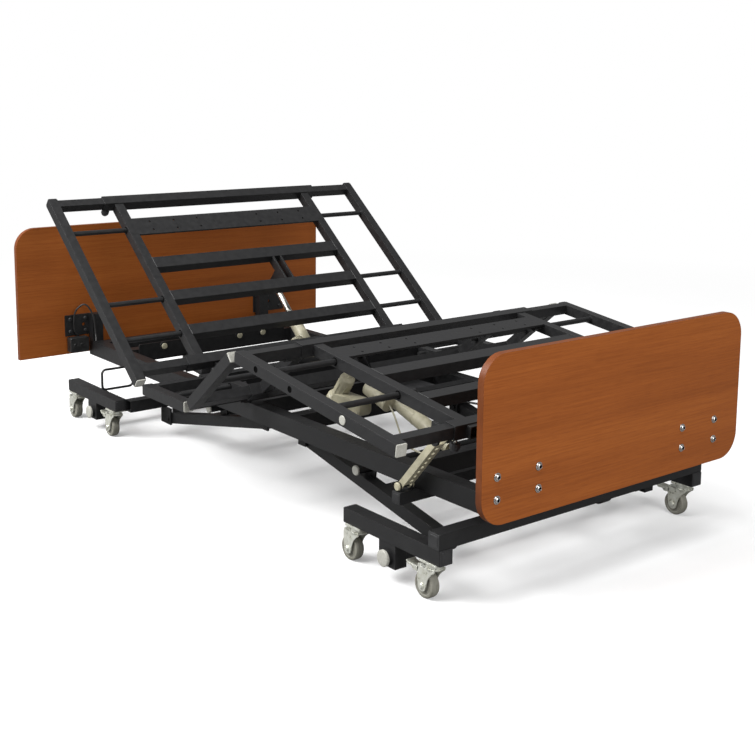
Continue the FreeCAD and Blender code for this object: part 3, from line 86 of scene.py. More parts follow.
def placed(section, along, across, up=0.0):
    """A point given in a deck section's own directions, turned into the bed's frame."""
    x, z, tilt = SECTIONS[section]
    turn = math.radians(tilt)
    return Vector((x + along * math.cos(turn) + up * math.sin(turn), across,
                   z - along * math.sin(turn) + up * math.cos(turn)))


def basis(forward, up=(0, 0, 1)):
    """A rotation whose Z runs along forward."""
    z = Vector(forward).normalized()
    x = Vector(up).cross(z)
    if x.length < 1e-6:
        x = Vector((1, 0, 0)).cross(z)
    x.normalize()
    return Matrix((x, z.cross(x), z)).transposed().to_4x4()


# ------------------------------------------------------------------ materials

def new_material(name):
    """An empty material with a shader wired to its output."""
    made = bpy.data.materials.new(name)
    made.use_nodes = True
    tree = made.node_tree
    tree.nodes.clear()
    out = tree.nodes.new("ShaderNodeOutputMaterial")
    shader = tree.nodes.new("ShaderNodeBsdfPrincipled")
    tree.links.new(shader.outputs[0], out.inputs[0])
    return made, tree, shader


def noise(tree, scale, detail=4.0, stretch=(1, 1, 1)):
    """Noise measured in metres on the object, stretched along the axes."""
    where = tree.nodes.new("ShaderNodeTexCoord")
    mapping = tree.nodes.new("ShaderNodeMapping")
    mapping.inputs["Scale"].default_value = stretch
    made = tree.nodes.new("ShaderNodeTexNoise")
    made.inputs["Scale"].default_value = scale
    made.inputs["Detail"].default_value = detail
    tree.links.new(where.outputs["Object"], mapping.inputs[0])
    tree.links.new(mapping.outputs[0], made.inputs["Vector"])
    return made


def ramp(tree, source, stops):
    """Colours laid over a value."""
    made = tree.nodes.new("ShaderNodeValToRGB")
    for element, (position, colour) in zip(made.color_ramp.elements, (stops[0], stops[-1])):
        element.position = position
        element.color = (*colour, 1)
    for position, colour in stops[1:-1]:
        made.color_ramp.elements.new(position).color = (*colour, 1)
    tree.links.new(source, made.inputs[0])
    return made


def spread(tree, source, low, high):
    """The noise turned into a range of values."""
    made = tree.nodes.new("ShaderNodeMapRange")
    made.inputs["From Min"].default_value = 0.3
    made.inputs["From Max"].default_value = 0.7
    made.inputs["To Min"].default_value = low
    made.inputs["To Max"].default_value = high
    tree.links.new(source, made.inputs[0])
    return made


def relief(tree, shader, source, strength, distance, edge=0.0):
    """Bump from the noise, over edges that look rounded by the given radius."""
    made = tree.nodes.new("ShaderNodeBump")
    made.inputs["Strength"].default_value = strength
    made.inputs["Distance"].default_value = distance
    tree.links.new(source, made.inputs["Height"])
    if edge:
        rounded = tree.nodes.new("ShaderNodeBevel")
        rounded.samples = 4
        rounded.inputs["Radius"].default_value = edge
        tree.links.new(rounded.outputs[0], made.inputs["Normal"])
    tree.links.new(made.outputs[0], shader.inputs["Normal"])


def surface(name, dark, light, rough, metal=0.0, grain=60.0, bump=0.15, depth=0.0004, fine=900.0, edge=0.0012,
            shine=0.5):
    """A painted, moulded or plated surface: slow colour drift, uneven sheen and a fine relief."""
    made, tree, shader = new_material(name)
    slow = noise(tree, grain)
    tint = ramp(tree, slow.outputs["Fac"], [(0.3, dark), (0.7, light)])
    tree.links.new(tint.outputs[0], shader.inputs["Base Color"])
    sheen = spread(tree, slow.outputs["Fac"], rough * 0.88, min(1.0, rough * 1.15))
    tree.links.new(sheen.outputs[0], shader.inputs["Roughness"])
    shader.inputs["Metallic"].default_value = metal
    shader.inputs["Specular IOR Level"].default_value = shine
    relief(tree, shader, noise(tree, fine, 2.0).outputs["Fac"], bump, depth, edge)
    return made


LAMINATE_SHINE = 0.18


def laminate(name, tones, rough):
    """Wood-grain laminate: long grain across the board, darker streaks and fine pores."""
    made, tree, shader = new_material(name)
    broad = noise(tree, 4.0, 5.0, (1, 0.30, 4.0))
    broad.inputs["Distortion"].default_value = 0.5
    streak = noise(tree, 95.0, 6.0, (1, 0.05, 2.6))
    streak.inputs["Distortion"].default_value = 0.35
    pore = noise(tree, 560.0, 3.0, (1, 0.05, 1.5))
    base = ramp(tree, broad.outputs["Fac"], [(0.25, tones[0]), (0.5, tones[1]), (0.78, tones[2])])
    veins = ramp(tree, streak.outputs["Fac"], [(0.35, (0.80, 0.75, 0.70)), (0.62, (1.0, 1.0, 1.0))])
    pores = ramp(tree, pore.outputs["Fac"], [(0.36, (0.82, 0.77, 0.72)), (0.5, (1.0, 1.0, 1.0))])
    colour = base.outputs[0]
    for layer, share in ((veins, 0.75), (pores, 0.6)):
        mix = tree.nodes.new("ShaderNodeMix")
        mix.data_type = "RGBA"
        mix.blend_type = "MULTIPLY"
        mix.inputs["Factor"].default_value = share
        tree.links.new(colour, mix.inputs["A"])
        tree.links.new(layer.outputs[0], mix.inputs["B"])
        colour = mix.outputs["Result"]
    tree.links.new(colour, shader.inputs["Base Color"])
    sheen = spread(tree, streak.outputs["Fac"], rough * 0.9, rough * 1.15)
    tree.links.new(sheen.outputs[0], shader.inputs["Roughness"])
    shader.inputs["Specular IOR Level"].default_value = LAMINATE_SHINE
    relief(tree, shader, pore.outputs["Fac"], 0.08, 0.0002, 0.001)
    return made


POWDER = surface("black_powder_coat", (0.0100, 0.0100, 0.0105), (0.0150, 0.0150, 0.0155), 0.43,
                 bump=0.2, fine=700.0, shine=0.30)
WIRE = surface("black_wire", (0.010, 0.010, 0.010), (0.018, 0.018, 0.018), 0.35)
PLASTIC = surface("black_plastic", (0.010, 0.010, 0.011), (0.020, 0.020, 0.021), 0.55,
                  bump=0.3, fine=1500.0)
CREAM = surface("cream_plastic", (0.36, 0.335, 0.235), (0.46, 0.43, 0.31), 0.42, bump=0.1, fine=1200.0)
IVORY = surface("ivory_cap", (0.33, 0.325, 0.29), (0.42, 0.415, 0.375), 0.38,
                bump=0.08, fine=1200.0, grain=220.0)
ZINC = surface("zinc_plate", (0.50, 0.50, 0.42), (0.72, 0.73, 0.67), 0.30,
               metal=0.55, grain=90.0, bump=0.12)
CHROME = surface("polished_bolt", (0.46, 0.46, 0.45), (0.60, 0.60, 0.59), 0.22,
                 metal=1.0, grain=200.0, bump=0.04)
ROD = surface("drawn_rod", (0.55, 0.54, 0.49), (0.70, 0.69, 0.64), 0.34,
              metal=1.0, grain=300.0, bump=0.05)
TREAD = surface("wheel_tread", (0.16, 0.155, 0.125), (0.22, 0.215, 0.180), 0.62, bump=0.25, fine=1400.0)
HUB = surface("wheel_hub", (0.36, 0.36, 0.33), (0.48, 0.48, 0.45), 0.50, bump=0.1, fine=1200.0)
# painted shade: a near-black colour that stands for the shaded insides of holes, bores and bolt sockets
HOLE_SHADE = surface("painted_hole_shade", (0.0005, 0.0005, 0.0005), (0.0010, 0.0010, 0.0010), 1.0,
               bump=0.05, shine=0.05)
CABLE = surface("cable_sheath", (0.008, 0.008, 0.008), (0.016, 0.016, 0.016), 0.45, bump=0.1)
CREAM_CABLE = surface("cream_cable_sheath", (0.36, 0.34, 0.25), (0.45, 0.43, 0.33), 0.5, bump=0.1)
CHERRY = ((0.250, 0.068, 0.0120), (0.290, 0.081, 0.0145), (0.330, 0.097, 0.0180))
WOOD = laminate("cherry_laminate", CHERRY, 0.42)
EDGE = surface("edge_band", (0.115, 0.030, 0.007), (0.155, 0.042, 0.010), 0.42, grain=25.0, shine=0.2)


def paint(node, *materials):
    """Give a CAD node its materials, the first one everywhere."""
    mesh = NODES[node].data
    mesh.materials.clear()
    for material in materials:
        mesh.materials.append(material)
    for face in mesh.polygons:
        face.material_index = 0


def paint_where(node, index, test):
    """Give the faces whose normal passes the test another of the node's materials."""
    for face in NODES[node].data.polygons:
        if test(face.normal):
            face.material_index = index


# ------------------------------------------------------------------ mesh building

def build(name, verts, faces, material, body, smooth=True, marks=None):
    """A mesh object in the bed's frame that rides on a body. marks gives each face's material index."""
    mesh = bpy.data.meshes.new(name)
    mesh.from_pydata([tuple(v) for v in verts], [], faces)
    for item in material if isinstance(material, tuple) else (material,):
        mesh.materials.append(item)
    if marks:
        for face, mark in zip(mesh.polygons, marks):
            face.material_index = mark
    mesh.update()
    mesh.validate()
    made = bpy.data.objects.new(name, mesh)
    bpy.context.scene.collection.objects.link(made)
    if smooth:
        mesh.polygons.foreach_set("use_smooth", [True] * len(mesh.polygons))
        mesh.set_sharp_from_angle(angle=math.radians(38))
    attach(made, body)
    return made


class Shape:
    """Vertices and faces of several solids that become one object."""

    def __init__(self):
        self.verts, self.faces, self.marks = [], [], []

    def add(self, verts, faces, mark=0):
        """Add a solid whose faces all have one material index."""
        start = len(self.verts)
        self.verts += [Vector(v) for v in verts]
        self.faces += [tuple(start + i for i in face) for face in faces]
        self.marks += [mark] * len(faces)

    def object(self, name, material, body):
        """Make one object of everything added so far."""
        return build(name, self.verts, self.faces, material, body, marks=self.marks)


def skin(rows, around):
    """Faces of a closed tube made of rows of points, with both ends filled."""
    faces = []
    for row in range(rows - 1):
        for i in range(around):
            j = (i + 1) % around
            faces.append((row * around + i, row * around + j, (row + 1) * around + j, (row + 1) * around + i))
    faces.append(tuple(range(around))[::-1])
    faces.append(tuple((rows - 1) * around + i for i in range(around)))
    return faces


def lathe(shape, profile, origin, axis, around=28, mark=0, wave=None):
    """Turn a profile of (radius, height) round an axis. wave changes the radius with the angle."""
    turn = basis(axis)
    verts = []
    for radius, height in profile:
        for i in range(around):
            angle = RUNNING_ROUND * i / around
            r = radius * (wave(i, height) if wave else 1.0)
            verts.append(Vector(origin) + turn @ Vector((r * math.cos(angle), r * math.sin(angle), height)))
    shape.add(verts, skin(len(profile), around), mark)


def pin(radius, length):
    """Profile of a plain round pin."""
    return (radius, 0.0), (radius, length)


def domed(radius, height, rim, steps=4):
    """Profile of a round cap: straight side, then a rounded shoulder of the given rim."""
    points = [(radius, 0.0), (radius, height - rim)]
    for i in range(1, steps + 1):
        angle = math.pi / 2 * i / steps
        points.append((radius - rim + rim * math.cos(angle), height - rim + rim * math.sin(angle)))
    return points


def slab(shape, outline, thickness, place, chamfer=0.0006, mark=0):
    """A flat plate cut to an outline, with its long edges eased."""
    count = len(outline)
    centre = sum((Vector((u, v)) for u, v in outline), Vector((0, 0))) / count
    verts = []
    for level, inset in ((0, chamfer), (chamfer, 0), (thickness - chamfer, 0), (thickness, chamfer)):
        for u, v in outline:
            point = Vector((u, v))
            inward = (centre - point).normalized() * inset
            verts.append(place @ Vector((u + inward.x, v + inward.y, level)))
    shape.add(verts, skin(len(verts) // count, count), mark)


def rounded(width, height, radius, steps=4):
    """Outline of a rectangle with round corners."""
    points = []
    for cx, cy, start in ((1, 1, 0), (-1, 1, 90), (-1, -1, 180), (1, -1, 270)):
        for i in range(steps + 1):
            angle = math.radians(start + 90 * i / steps)
            points.append((cx * (width / 2 - radius) + radius * math.cos(angle),
                           cy * (height / 2 - radius) + radius * math.sin(angle)))
    return points


def smooth_path(points, steps=8):
    """A rounded path through the points."""
    path = [Vector(p) for p in points]
    ends = [path[0] * 2 - path[1]] + path + [path[-1] * 2 - path[-2]]
    out = []
    for i in range(1, len(ends) - 2):
        a, b, c, d = ends[i - 1:i + 3]
        for k in range(steps):
            t = k / steps
            out.append(0.5 * ((2 * b) + (c - a) * t + (2 * a - 5 * b + 4 * c - d) * t * t
                              + (3 * b - a - 3 * c + d) * t ** 3))
    return out + [path[-1]]


def sweep(shape, points, radius, around=10, mark=0, swell=None):
    """A round cord along a path; swell changes the radius along it."""
    verts = []
    normal = None
    for i, point in enumerate(points):
        ahead = (points[min(i + 1, len(points) - 1)] - points[max(i - 1, 0)]).normalized()
        if normal is None:
            normal = ahead.orthogonal().normalized()
        normal = (normal - ahead * normal.dot(ahead)).normalized()
        other = ahead.cross(normal)
        r = radius * (swell(i) if swell else 1.0)
        for k in range(around):
            angle = RUNNING_ROUND * k / around
            verts.append(point + normal * r * math.cos(angle) + other * r * math.sin(angle))
    shape.add(verts, skin(len(points), around), mark)


BEAD_RADIUS = 0.0017
RIPPLE = 0.0022


def weld(shape, start, end):
    """A rippled weld bead along a joint."""
    start, end = Vector(start), Vector(end)
    count = max(6, int((end - start).length / RIPPLE))
    points = [start.lerp(end, i / count) for i in range(count + 1)]
    sweep(shape, points, BEAD_RADIUS, 6, swell=lambda i: 0.82 + 0.18 * (i % 2) + random.uniform(-0.05, 0.05))


# ------------------------------------------------------------------ CAD nodes

# a board's faces point along the bed by at least this much; the rest is its edge
BOARD_FACE = 0.9

for name in NODES:
    paint(name, POWDER)
for name in ("headboard", "footboard"):
    paint(name, WOOD, EDGE)
    paint_where(name, 1, lambda normal: abs(normal.x) < BOARD_FACE)
paint("control_box", PLASTIC)
paint("cable_loops", WIRE)
paint("calf_strut", CREAM)
for end in ENDS:
    paint(f"{end}_caster_plates", ZINC)
for name in NODES:
    if name.endswith("_actuator_body"):
        paint(name, PLASTIC if "lift" in name else CREAM)
    elif name.endswith("_actuator_rod"):
        paint(name, ROD)
    elif name.startswith("brake_pedal"):
        paint(name, ZINC)

# ------------------------------------------------------------------ deck end caps

# both ends of each wing rail along its section: a black cap towards the head, an ivory one towards the feet
WING_ENDS = {"back": (-0.776, -0.016), "seat": (-0.190, 0.045), "thigh": (0.020, 0.290),
             "calf": (0.020, 0.672)}
CAP_SEAT = 0.0004
CAP_SIDE = TUBE - 0.0006
CAP_THICK = 0.0046

for section, reaches in WING_ENDS.items():
    tilt = math.radians(SECTIONS[section][2])
    along = Vector((math.cos(tilt), 0, -math.sin(tilt)))
    for side_name, side in SIDES:
        for number, (reach, way, material, slot) in enumerate(zip(
                reaches, (-1, 1), (PLASTIC, IVORY), ("black_plastic", "strut"))):
            cap = Shape()
            origin = placed(section, reach + way * CAP_SEAT, side * WING_RAIL)
            turn = Matrix.Translation(origin) @ basis(along * way)
            slab(cap, rounded(CAP_SIDE, CAP_SIDE, 0.003), CAP_THICK, turn, 0.0011)
            cap_name = f"{section}_wing_cap_{side_name}_{number}"
            cap.object(cap_name, material, f"{section}_wing_{side_name}")

# ------------------------------------------------------------------ painted shade in the holes, and cap plug of the calf rails

CALF_HOLES = (0.117, 0.268)
CALF_PLUG = 0.482
HOLE_SHADE_PROFILE = ((0.0086, -0.0004), (0.0084, 0.0003), (0.0074, 0.0004), (0.0070, 0.0001))

for side_name, side in SIDES:
    body = f"calf_wing_{side_name}"
    for number, reach in enumerate(CALF_HOLES):
        # a near-black disc of painted shade on the rail face stands for the shaded inside of each hole
        hole_shade = Shape()
        lathe(hole_shade, HOLE_SHADE_PROFILE, placed("calf", reach, side * WING_FACE), (0, side, 0), 24)
        hole_shade.object(f"calf_rail_hole_shade_{side_name}_{number}", HOLE_SHADE, body)
    button = Shape()
    spot = placed("calf", CALF_PLUG, side * (WING_FACE - 0.0002))
    lathe(button, domed(0.0115, 0.0022, 0.0016), spot, (0, side, 0))
    button.object(f"calf_rail_plug_{side_name}", IVORY, body)

# ------------------------------------------------------------------ plugs in the open tube ends

def plug(shape, centre, axis, width, height):
    """A moulded plug: a flange over the tube end and a shallow raised face."""
    turn = Matrix.Translation(Vector(centre)) @ basis(axis)
    slab(shape, rounded(width - 0.0004, height - 0.0004, 0.0022), 0.0024, turn, 0.0008)
    inner = Matrix.Translation(Vector(centre) + Vector(axis) * 0.0018) @ basis(axis)
    slab(shape, rounded(width - 0.010, height - 0.010, 0.003), 0.0014, inner, 0.0005)


# far ends of the foot beam and of the outriggers; the near ends mirror them
FOOT_BEAM_END = (0.941, 0.473, 0.154)
OUTRIGGER_END = (0.745, 0.424, 0.190)

for end in ENDS:
    plugs = Shape()
    for side in (-1, 1):
        for way in (-1, 1):
            spot = (CARRIAGE_MID[end] + way * CARRIAGE_HALF, side * BASE_MID, CARRIAGE_LEVEL)
            plug(plugs, spot, (way, 0, 0), CARRIAGE_TUBE, CARRIAGE_TUBE)
        if end == "foot":
            x, y, z = FOOT_BEAM_END
            plug(plugs, (x, side * y, z), (0, side, 0), CARRIAGE_TUBE, CARRIAGE_TUBE)
    plugs.object(f"{end}_base_plugs", PLASTIC, f"{end}_base")
plugs = Shape()
for side in (-1, 1):
    x, y, z = OUTRIGGER_END
    plug(plugs, (x, side * y, z), (0, side, 0), TUBE, TUBE)
plugs.object("outrigger_plugs", PLASTIC, "main")

# ------------------------------------------------------------------ painted shade in the bores round the guide rods

GUIDES = {"back": (-0.175, -0.320, -0.630), "seat": (-0.072,), "thigh": (0.150,), "calf": (0.150, 0.410)}
# a near-black ring and disc of painted shade, standing for the shaded inside of each bore
BORE_SHADE_PROFILE = ((0.0112, -0.0003), (0.0110, 0.0005), (0.0088, 0.0005), (0.0084, 0.0001))

for section, spots in GUIDES.items():
    bore_shade_discs = Shape()
    for reach in spots:
        for side in (-1, 1):
            lathe(bore_shade_discs, BORE_SHADE_PROFILE, placed(section, reach, side * SECTION_FACE), (0, side, 0), 28)
    bore_shade_discs.object(f"{section}_guide_bore_shade", HOLE_SHADE, SECTION_BODY[section])

# ------------------------------------------------------------------ arms: cap on each end of the tie tubes

def on_arm(end, along, up, across=0.0):
    """A point on a lift arm, measured down the arm and square to it."""
    top, way = ARM_TOPS[end]
    x = top + way * (along * math.cos(ARM_TILT) + up * math.sin(ARM_TILT))
    return Vector((x, across, ARM_TOP_LEVEL - along * math.sin(ARM_TILT) + up * math.cos(ARM_TILT)))


TIE_ALONG = 0.278
TIE_UP = 0.043
TIE_END = ARM_MID + 0.0435

for end in ENDS:
    for side_name, side in SIDES:
        cap = Shape()
        tie_end = on_arm(end, TIE_ALONG, TIE_UP, side * TIE_END)
        lathe(cap, domed(0.0136, 0.0060, 0.0028), tie_end, (0, side, 0))
        cap.object(f"{end}_tie_cap_{side_name}", IVORY, f"{end}_arms")

# ------------------------------------------------------------------ discs on the pivot blocks

DISC = ((0.0206, 0.0), (0.0206, 0.0056), (0.0198, 0.0066), (0.0184, 0.0071), (0.0120, 0.0074))

for end in ENDS:
    for side_name, side in SIDES:
        disc = Shape()
        lathe(disc, DISC, (PIVOT_AT[end], side * PIVOT_FACE, PIVOT_LEVEL), (0, side, 0), 36)
        disc.object(f"{end}_pivot_disc_{side_name}", IVORY, f"{end}_base")

# ------------------------------------------------------------------ casters

AXLE_END = ((0.0075, 0), (0.0075, 0.0012), (0.0062, 0.0012), (0.0062, 0.0034), (0.0050, 0.0046),
            (0.0012, 0.0050))
PEDAL_EAR = ((-0.060, 0.0650), (-0.056, 0.0615), (-0.040, 0.0620), (-0.036, 0.0740), (-0.056, 0.0745),
             (-0.060, 0.0715))
CROWN = ((0.0200, -0.0030), (0.0212, -0.0010), (0.0212, 0.0018), (0.0195, 0.0031), (0.0140, 0.0034),
         (0.0130, 0.0020))
CROWN_LEVEL = 0.080
CROWN_PLATE = (0.053, 0.035, 0.009)
CROWN_PLATE_BACK = 0.0135
CROWN_PLATE_LEVEL = 0.0773
CROWN_PLATE_THICK = 0.0055
STEM_RADIUS = 0.0059
STEM_LEVEL = 0.0790
STEM_HEIGHT = 0.0160
AXLE_RADIUS = 0.0039
HINGE_RADIUS = 0.0024
PIN_HALF = 0.0175
TYRE = ((0.0242, -0.0108), (0.0252, -0.0118), (0.0285, -0.0120), (0.0305, -0.0112), (0.0320, -0.0085),
        (WHEEL_RADIUS, -0.0055), (WHEEL_RADIUS, -0.0008), (0.0321, 0.0), (WHEEL_RADIUS, 0.0008),
        (WHEEL_RADIUS, 0.0055), (0.0320, 0.0085), (0.0305, 0.0112), (0.0285, 0.0120), (0.0252, 0.0118),
        (0.0242, 0.0108))
WHEEL_HUB = ((0.0046, -0.0134), (0.0085, -0.0134), (0.0098, -0.0118), (0.0112, -0.0092), (0.0225, -0.0092),
             (0.0244, -0.0112), (0.0244, 0.0112), (0.0225, 0.0092), (0.0112, 0.0092), (0.0098, 0.0118),
             (0.0085, 0.0134), (0.0046, 0.0134))
WHEEL_RIB = ((0.0100, -0.0009), (0.0228, -0.0007), (0.0228, 0.0007), (0.0100, 0.0009))
WHEEL_RIBS = 8
PEDAL_RIBS = 4
PEDAL_RIB_STEP = 0.0042
PEDAL_RIB_HALF = 0.0115
PEDAL_RIB_STOPS = 10


def fork_leg(points=20):
    """Side of a pressed fork: wide under the crown, a curved cut at the front, round at the axle."""
    boss = 0.0142
    outline = [(0.0195, CASTER_TOP), (0.0185, 0.076)]
    for i in range(points // 2):
        t = i / (points // 2 - 1)
        outline.append((0.0170 - 0.0280 * t - 0.0045 * math.sin(math.pi * t), 0.0740 - 0.0400 * t ** 1.25))
    for i in range(1, points // 2):
        angle = math.radians(-20 - 190 * i / (points // 2))
        outline.append((-AXLE_BACK + boss * math.cos(angle), AXLE_LEVEL + boss * math.sin(angle)))
    outline += [(-0.0405, 0.040), (-0.0420, 0.060), (-0.0410, 0.076), (-0.0385, CASTER_TOP)]
    return outline


def caster(label, along, across, brake):
    """Fork and wheel of one caster, and the ribs of its brake pedal."""
    fork_body = f"caster_fork_{label}"
    wheel_body = f"caster_wheel_{label}"
    fork = Shape()
    for face in (-1, 1):
        outer = across + face * (FORK_HALF + FORK_SHEET)
        inner = across + face * FORK_HALF
        place = Matrix.Translation((along, max(outer, inner), 0)) @ Matrix.Rotation(math.pi / 2, 4, "X")
        slab(fork, fork_leg(), FORK_SHEET, place, 0.0007)
        # a hexagon nut on the far end of the axle, a round head on the near end
        lathe(fork, AXLE_END, (along - AXLE_BACK, outer, AXLE_LEVEL), (0, face, 0), 6 if face > 0 else 24)
        if brake:
            slab(fork, PEDAL_EAR, FORK_SHEET, place, 0.0005)
    lathe(fork, CROWN, (along, across, CROWN_LEVEL), (0, 0, 1), 32)
    top = [(u - CROWN_PLATE_BACK, v) for u, v in rounded(*CROWN_PLATE)]
    slab(fork, top, CROWN_PLATE_THICK, Matrix.Translation((along, across, CROWN_PLATE_LEVEL)), 0.0014)
    lathe(fork, pin(STEM_RADIUS, STEM_HEIGHT), (along, across, STEM_LEVEL), (0, 0, 1), 18)
    axle = (along - AXLE_BACK, across - PIN_HALF, AXLE_LEVEL)
    lathe(fork, pin(AXLE_RADIUS, 2 * PIN_HALF), axle, (0, 1, 0), 16)
    if brake:
        hinge = (along - PEDAL_BACK, across - PIN_HALF, PEDAL_LEVEL)
        lathe(fork, pin(HINGE_RADIUS, 2 * PIN_HALF), hinge, (0, 1, 0), 14)
    made = fork.object(f"pressed_fork_{label}", ZINC, fork_body)
    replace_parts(made, fork_body)

    wheel = Shape()
    centre = (along - AXLE_BACK, across, AXLE_LEVEL)
    lathe(wheel, TYRE, centre, (0, 1, 0), 44, 0)
    lathe(wheel, WHEEL_HUB, centre, (0, 1, 0), 36, 1)
    for face in (-1, 1):
        for i in range(WHEEL_RIBS):
            angle = RUNNING_ROUND * i / WHEEL_RIBS
            spoke = Matrix.Translation((centre[0], across + face * 0.0093 - 0.0008, centre[2])) \
                @ Matrix.Rotation(angle, 4, "Y") @ Matrix.Rotation(-math.pi / 2, 4, "X")
            slab(wheel, WHEEL_RIB, 0.0016, spoke, 0.0002, 1)
    made = wheel.object(f"rolling_wheel_{label}", (TREAD, HUB), wheel_body)
    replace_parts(made, wheel_body)

    if brake:
        ribs = Shape()
        for i in range(PEDAL_RIBS):
            spot = Vector((along - PEDAL_BACK - 0.008 - PEDAL_RIB_STEP * i, across, 0.0712 + 0.00015 * i))
            line = [spot + Vector((0, PEDAL_RIB_HALF * (2 * k / PEDAL_RIB_STOPS - 1), 0))
                    for k in range(PEDAL_RIB_STOPS + 1)]
            sweep(ribs, line, 0.0009, 6, swell=lambda k: 0.7 if k in (0, PEDAL_RIB_STOPS) else 1.0)
        ribs.object(f"pedal_ribs_{label}", ZINC, f"brake_pedal_{label}")


# the caster on the foot side of each carriage tube has the brake
for end, outer_way in (("foot", 1), ("head", -1)):
    for place, way in (("outer", outer_way), ("inner", -outer_way)):
        for side_name, side in SIDES:
            along = CARRIAGE_MID[end] + way * CASTER_REACH
            caster(f"{end}_{side_name}_{place}", along, side * BASE_MID, way == 1)

# ------------------------------------------------------------------ bolts of the boards

FOOTBOARD_FACE = 1.0750
BOLT_COLUMNS = (-0.411, -0.282, 0.229, 0.358)
BOLT_ROWS = (0.275, 0.327)
HEAD_PLATE_FACE = -1.0600
SCREW_COLUMNS = (0.384, 0.441)
SCREW_ROWS = (0.294, 0.338)
# profile, points round and material of each part of a footboard bolt: washer, head, socket, shank, nut
BOLT_PARTS = (
    (((0.0100, 0.0), (0.0100, 0.0014), (0.0095, 0.0019), (0.0078, 0.0019)), 32, 0),
    (((0.0075, 0.0018), (0.0075, 0.0030), (0.0070, 0.0046), (0.0058, 0.0058), (0.0046, 0.0063),
      (0.0040, 0.0064), (0.0038, 0.0034)), 30, 0),
    # the socket is a near-black hexagon of painted shade, standing for the shaded recess in the head
    (((0.0038, 0.0035), (0.0037, 0.00645)), 6, 1),
    (((0.0049, -0.025), (0.0049, 0.0)), 16, 0),
    (((0.0080, -0.0310), (0.0080, -0.0252), (0.0075, -0.0250)), 6, 0),
)
SCREW = ((0.0070, 0.0), (0.0069, 0.0014), (0.0058, 0.0030), (0.0036, 0.0038), (0.0022, 0.0039),
         (0.0020, 0.0022))

bolts = Shape()
for across in BOLT_COLUMNS:
    for level in BOLT_ROWS:
        for profile, around, mark in BOLT_PARTS:
            lathe(bolts, profile, (FOOTBOARD_FACE, across, level), (1, 0, 0), around, mark)
for side in (-1, 1):
    for across in SCREW_COLUMNS:
        for level in SCREW_ROWS:
            lathe(bolts, SCREW, (HEAD_PLATE_FACE, side * across, level), (1, 0, 0), 24, 2)
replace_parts(bolts.object("board_fasteners", (CHROME, HOLE_SHADE, PLASTIC), "main"), "board_bolts")

# ------------------------------------------------------------------ lock plungers

KNOBS = {"back": -0.758, "calf": 0.640}
KNOB_TOP = -0.0175
GRIP = ((0.0085, 0.0142), (0.0118, 0.0150), (0.0130, 0.0170), (0.0130, 0.0255), (0.0118, 0.0280),
        (0.0095, 0.0284), (0.0098, 0.0300), (0.0092, 0.0330), (0.0070, 0.0340))


def knurl(i, height):
    """Shallow flutes round the middle of a knob."""
    return 0.95 if i % 4 < 2 and 0.016 < height < 0.027 else 1.0


for section, reach in KNOBS.items():
    down = placed(section, reach, 0, -1.0) - placed(section, reach, 0)
    for side_name, side in SIDES:
        knob = Shape()
        top = placed(section, reach, side * LOCK_LINE, KNOB_TOP)
        lathe(knob, pin(0.0040, 0.0160), top, down, 16, 1)
        lathe(knob, GRIP, top, down, 48, 0, wave=knurl)
        body = f"{section}_lock_knob_{side_name}"
        made = knob.object(f"knurled_plunger_{section}_{side_name}", (PLASTIC, ROD), body)
        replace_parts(made, body)

# ------------------------------------------------------------------ actuators

# each actuator: foot pin as x and z, far pin, distance from the middle line, body length, motor's place
# along it and the side the motor is on
RUNS = {
    "back": ((-0.290, 0.222), placed("back", -0.380, 0, -0.075), 0.100, 0.225, 0.095, -1),
    "knee": ((0.660, 0.228), placed("thigh", 0.200, 0, -0.070), -0.150, 0.355, 0.305, -1),
    "foot_lift": ((0.972, 0.205), on_arm("foot", 0.350, 0.050), 0.100, 0.310, 0.110, 1),
    "head_lift": ((-0.802, 0.205), on_arm("head", 0.350, 0.050), -0.100, 0.310, 0.110, -1),
}
MOTOR_OFFSET = 0.033
MOTOR_END = 0.0426
TUBE_RING = ((0.0208, -0.0012), (0.0217, -0.0008), (0.0217, 0.0008), (0.0208, 0.0012))
ROD_SEAL = ((0.0224, -0.0006), (0.0210, 0.0032), (0.0160, 0.0046), (0.0118, 0.0048), (0.0108, 0.0030))
MOTOR_CAP = ((0.0224, 0.0), (0.0224, 0.0030), (0.0212, 0.0052), (0.0150, 0.0066), (0.0060, 0.0070))
MOTOR_RING = ((0.0219, -0.0010), (0.0226, -0.0006), (0.0226, 0.0006), (0.0219, 0.0010))
SMALL_SCREW = ((0.0034, -0.0004), (0.0034, 0.0012), (0.0024, 0.0018), (0.0008, 0.0018))


def actuator_line(name):
    """Foot pin of an actuator and the direction it pushes in."""
    foot, pin, line = RUNS[name][:3]
    start = Vector((foot[0], line, foot[1]))
    return start, (Vector((pin.x, line, pin.z)) - start).normalized()


for name, (foot, pin, line, length, motor_at, motor_side) in RUNS.items():
    start, run = actuator_line(name)
    rings = Shape()
    for at in (0.040, length * 0.5, length - 0.022):
        lathe(rings, TUBE_RING, start + run * at, run, 36)
    lathe(rings, ROD_SEAL, start + run * length, run, 36, 1)
    motor = start + Vector((0, motor_side * MOTOR_OFFSET, 0)) + run * motor_at
    for way in (-1, 1):
        lathe(rings, MOTOR_CAP, motor + run * way * MOTOR_END, run * way, 36)
    for at in (-0.018, 0.0, 0.018):
        lathe(rings, MOTOR_RING, motor + run * at, run, 36)
    for at in (-0.024, 0.024):
        for way in (-1, 1):
            up = basis(run).to_3x3() @ Vector((0, 1, 0))
            spot = motor + run * at + Vector((0, -motor_side * 0.016, 0)) + up * way * 0.0200
            lathe(rings, SMALL_SCREW, spot, up * way, 12, 1)
    shell = PLASTIC if "lift" in name else CREAM
    rings.object(f"{name}_actuator_trim", (shell, PLASTIC), f"{name}_actuator_body")

# ------------------------------------------------------------------ apron on the head cross tube

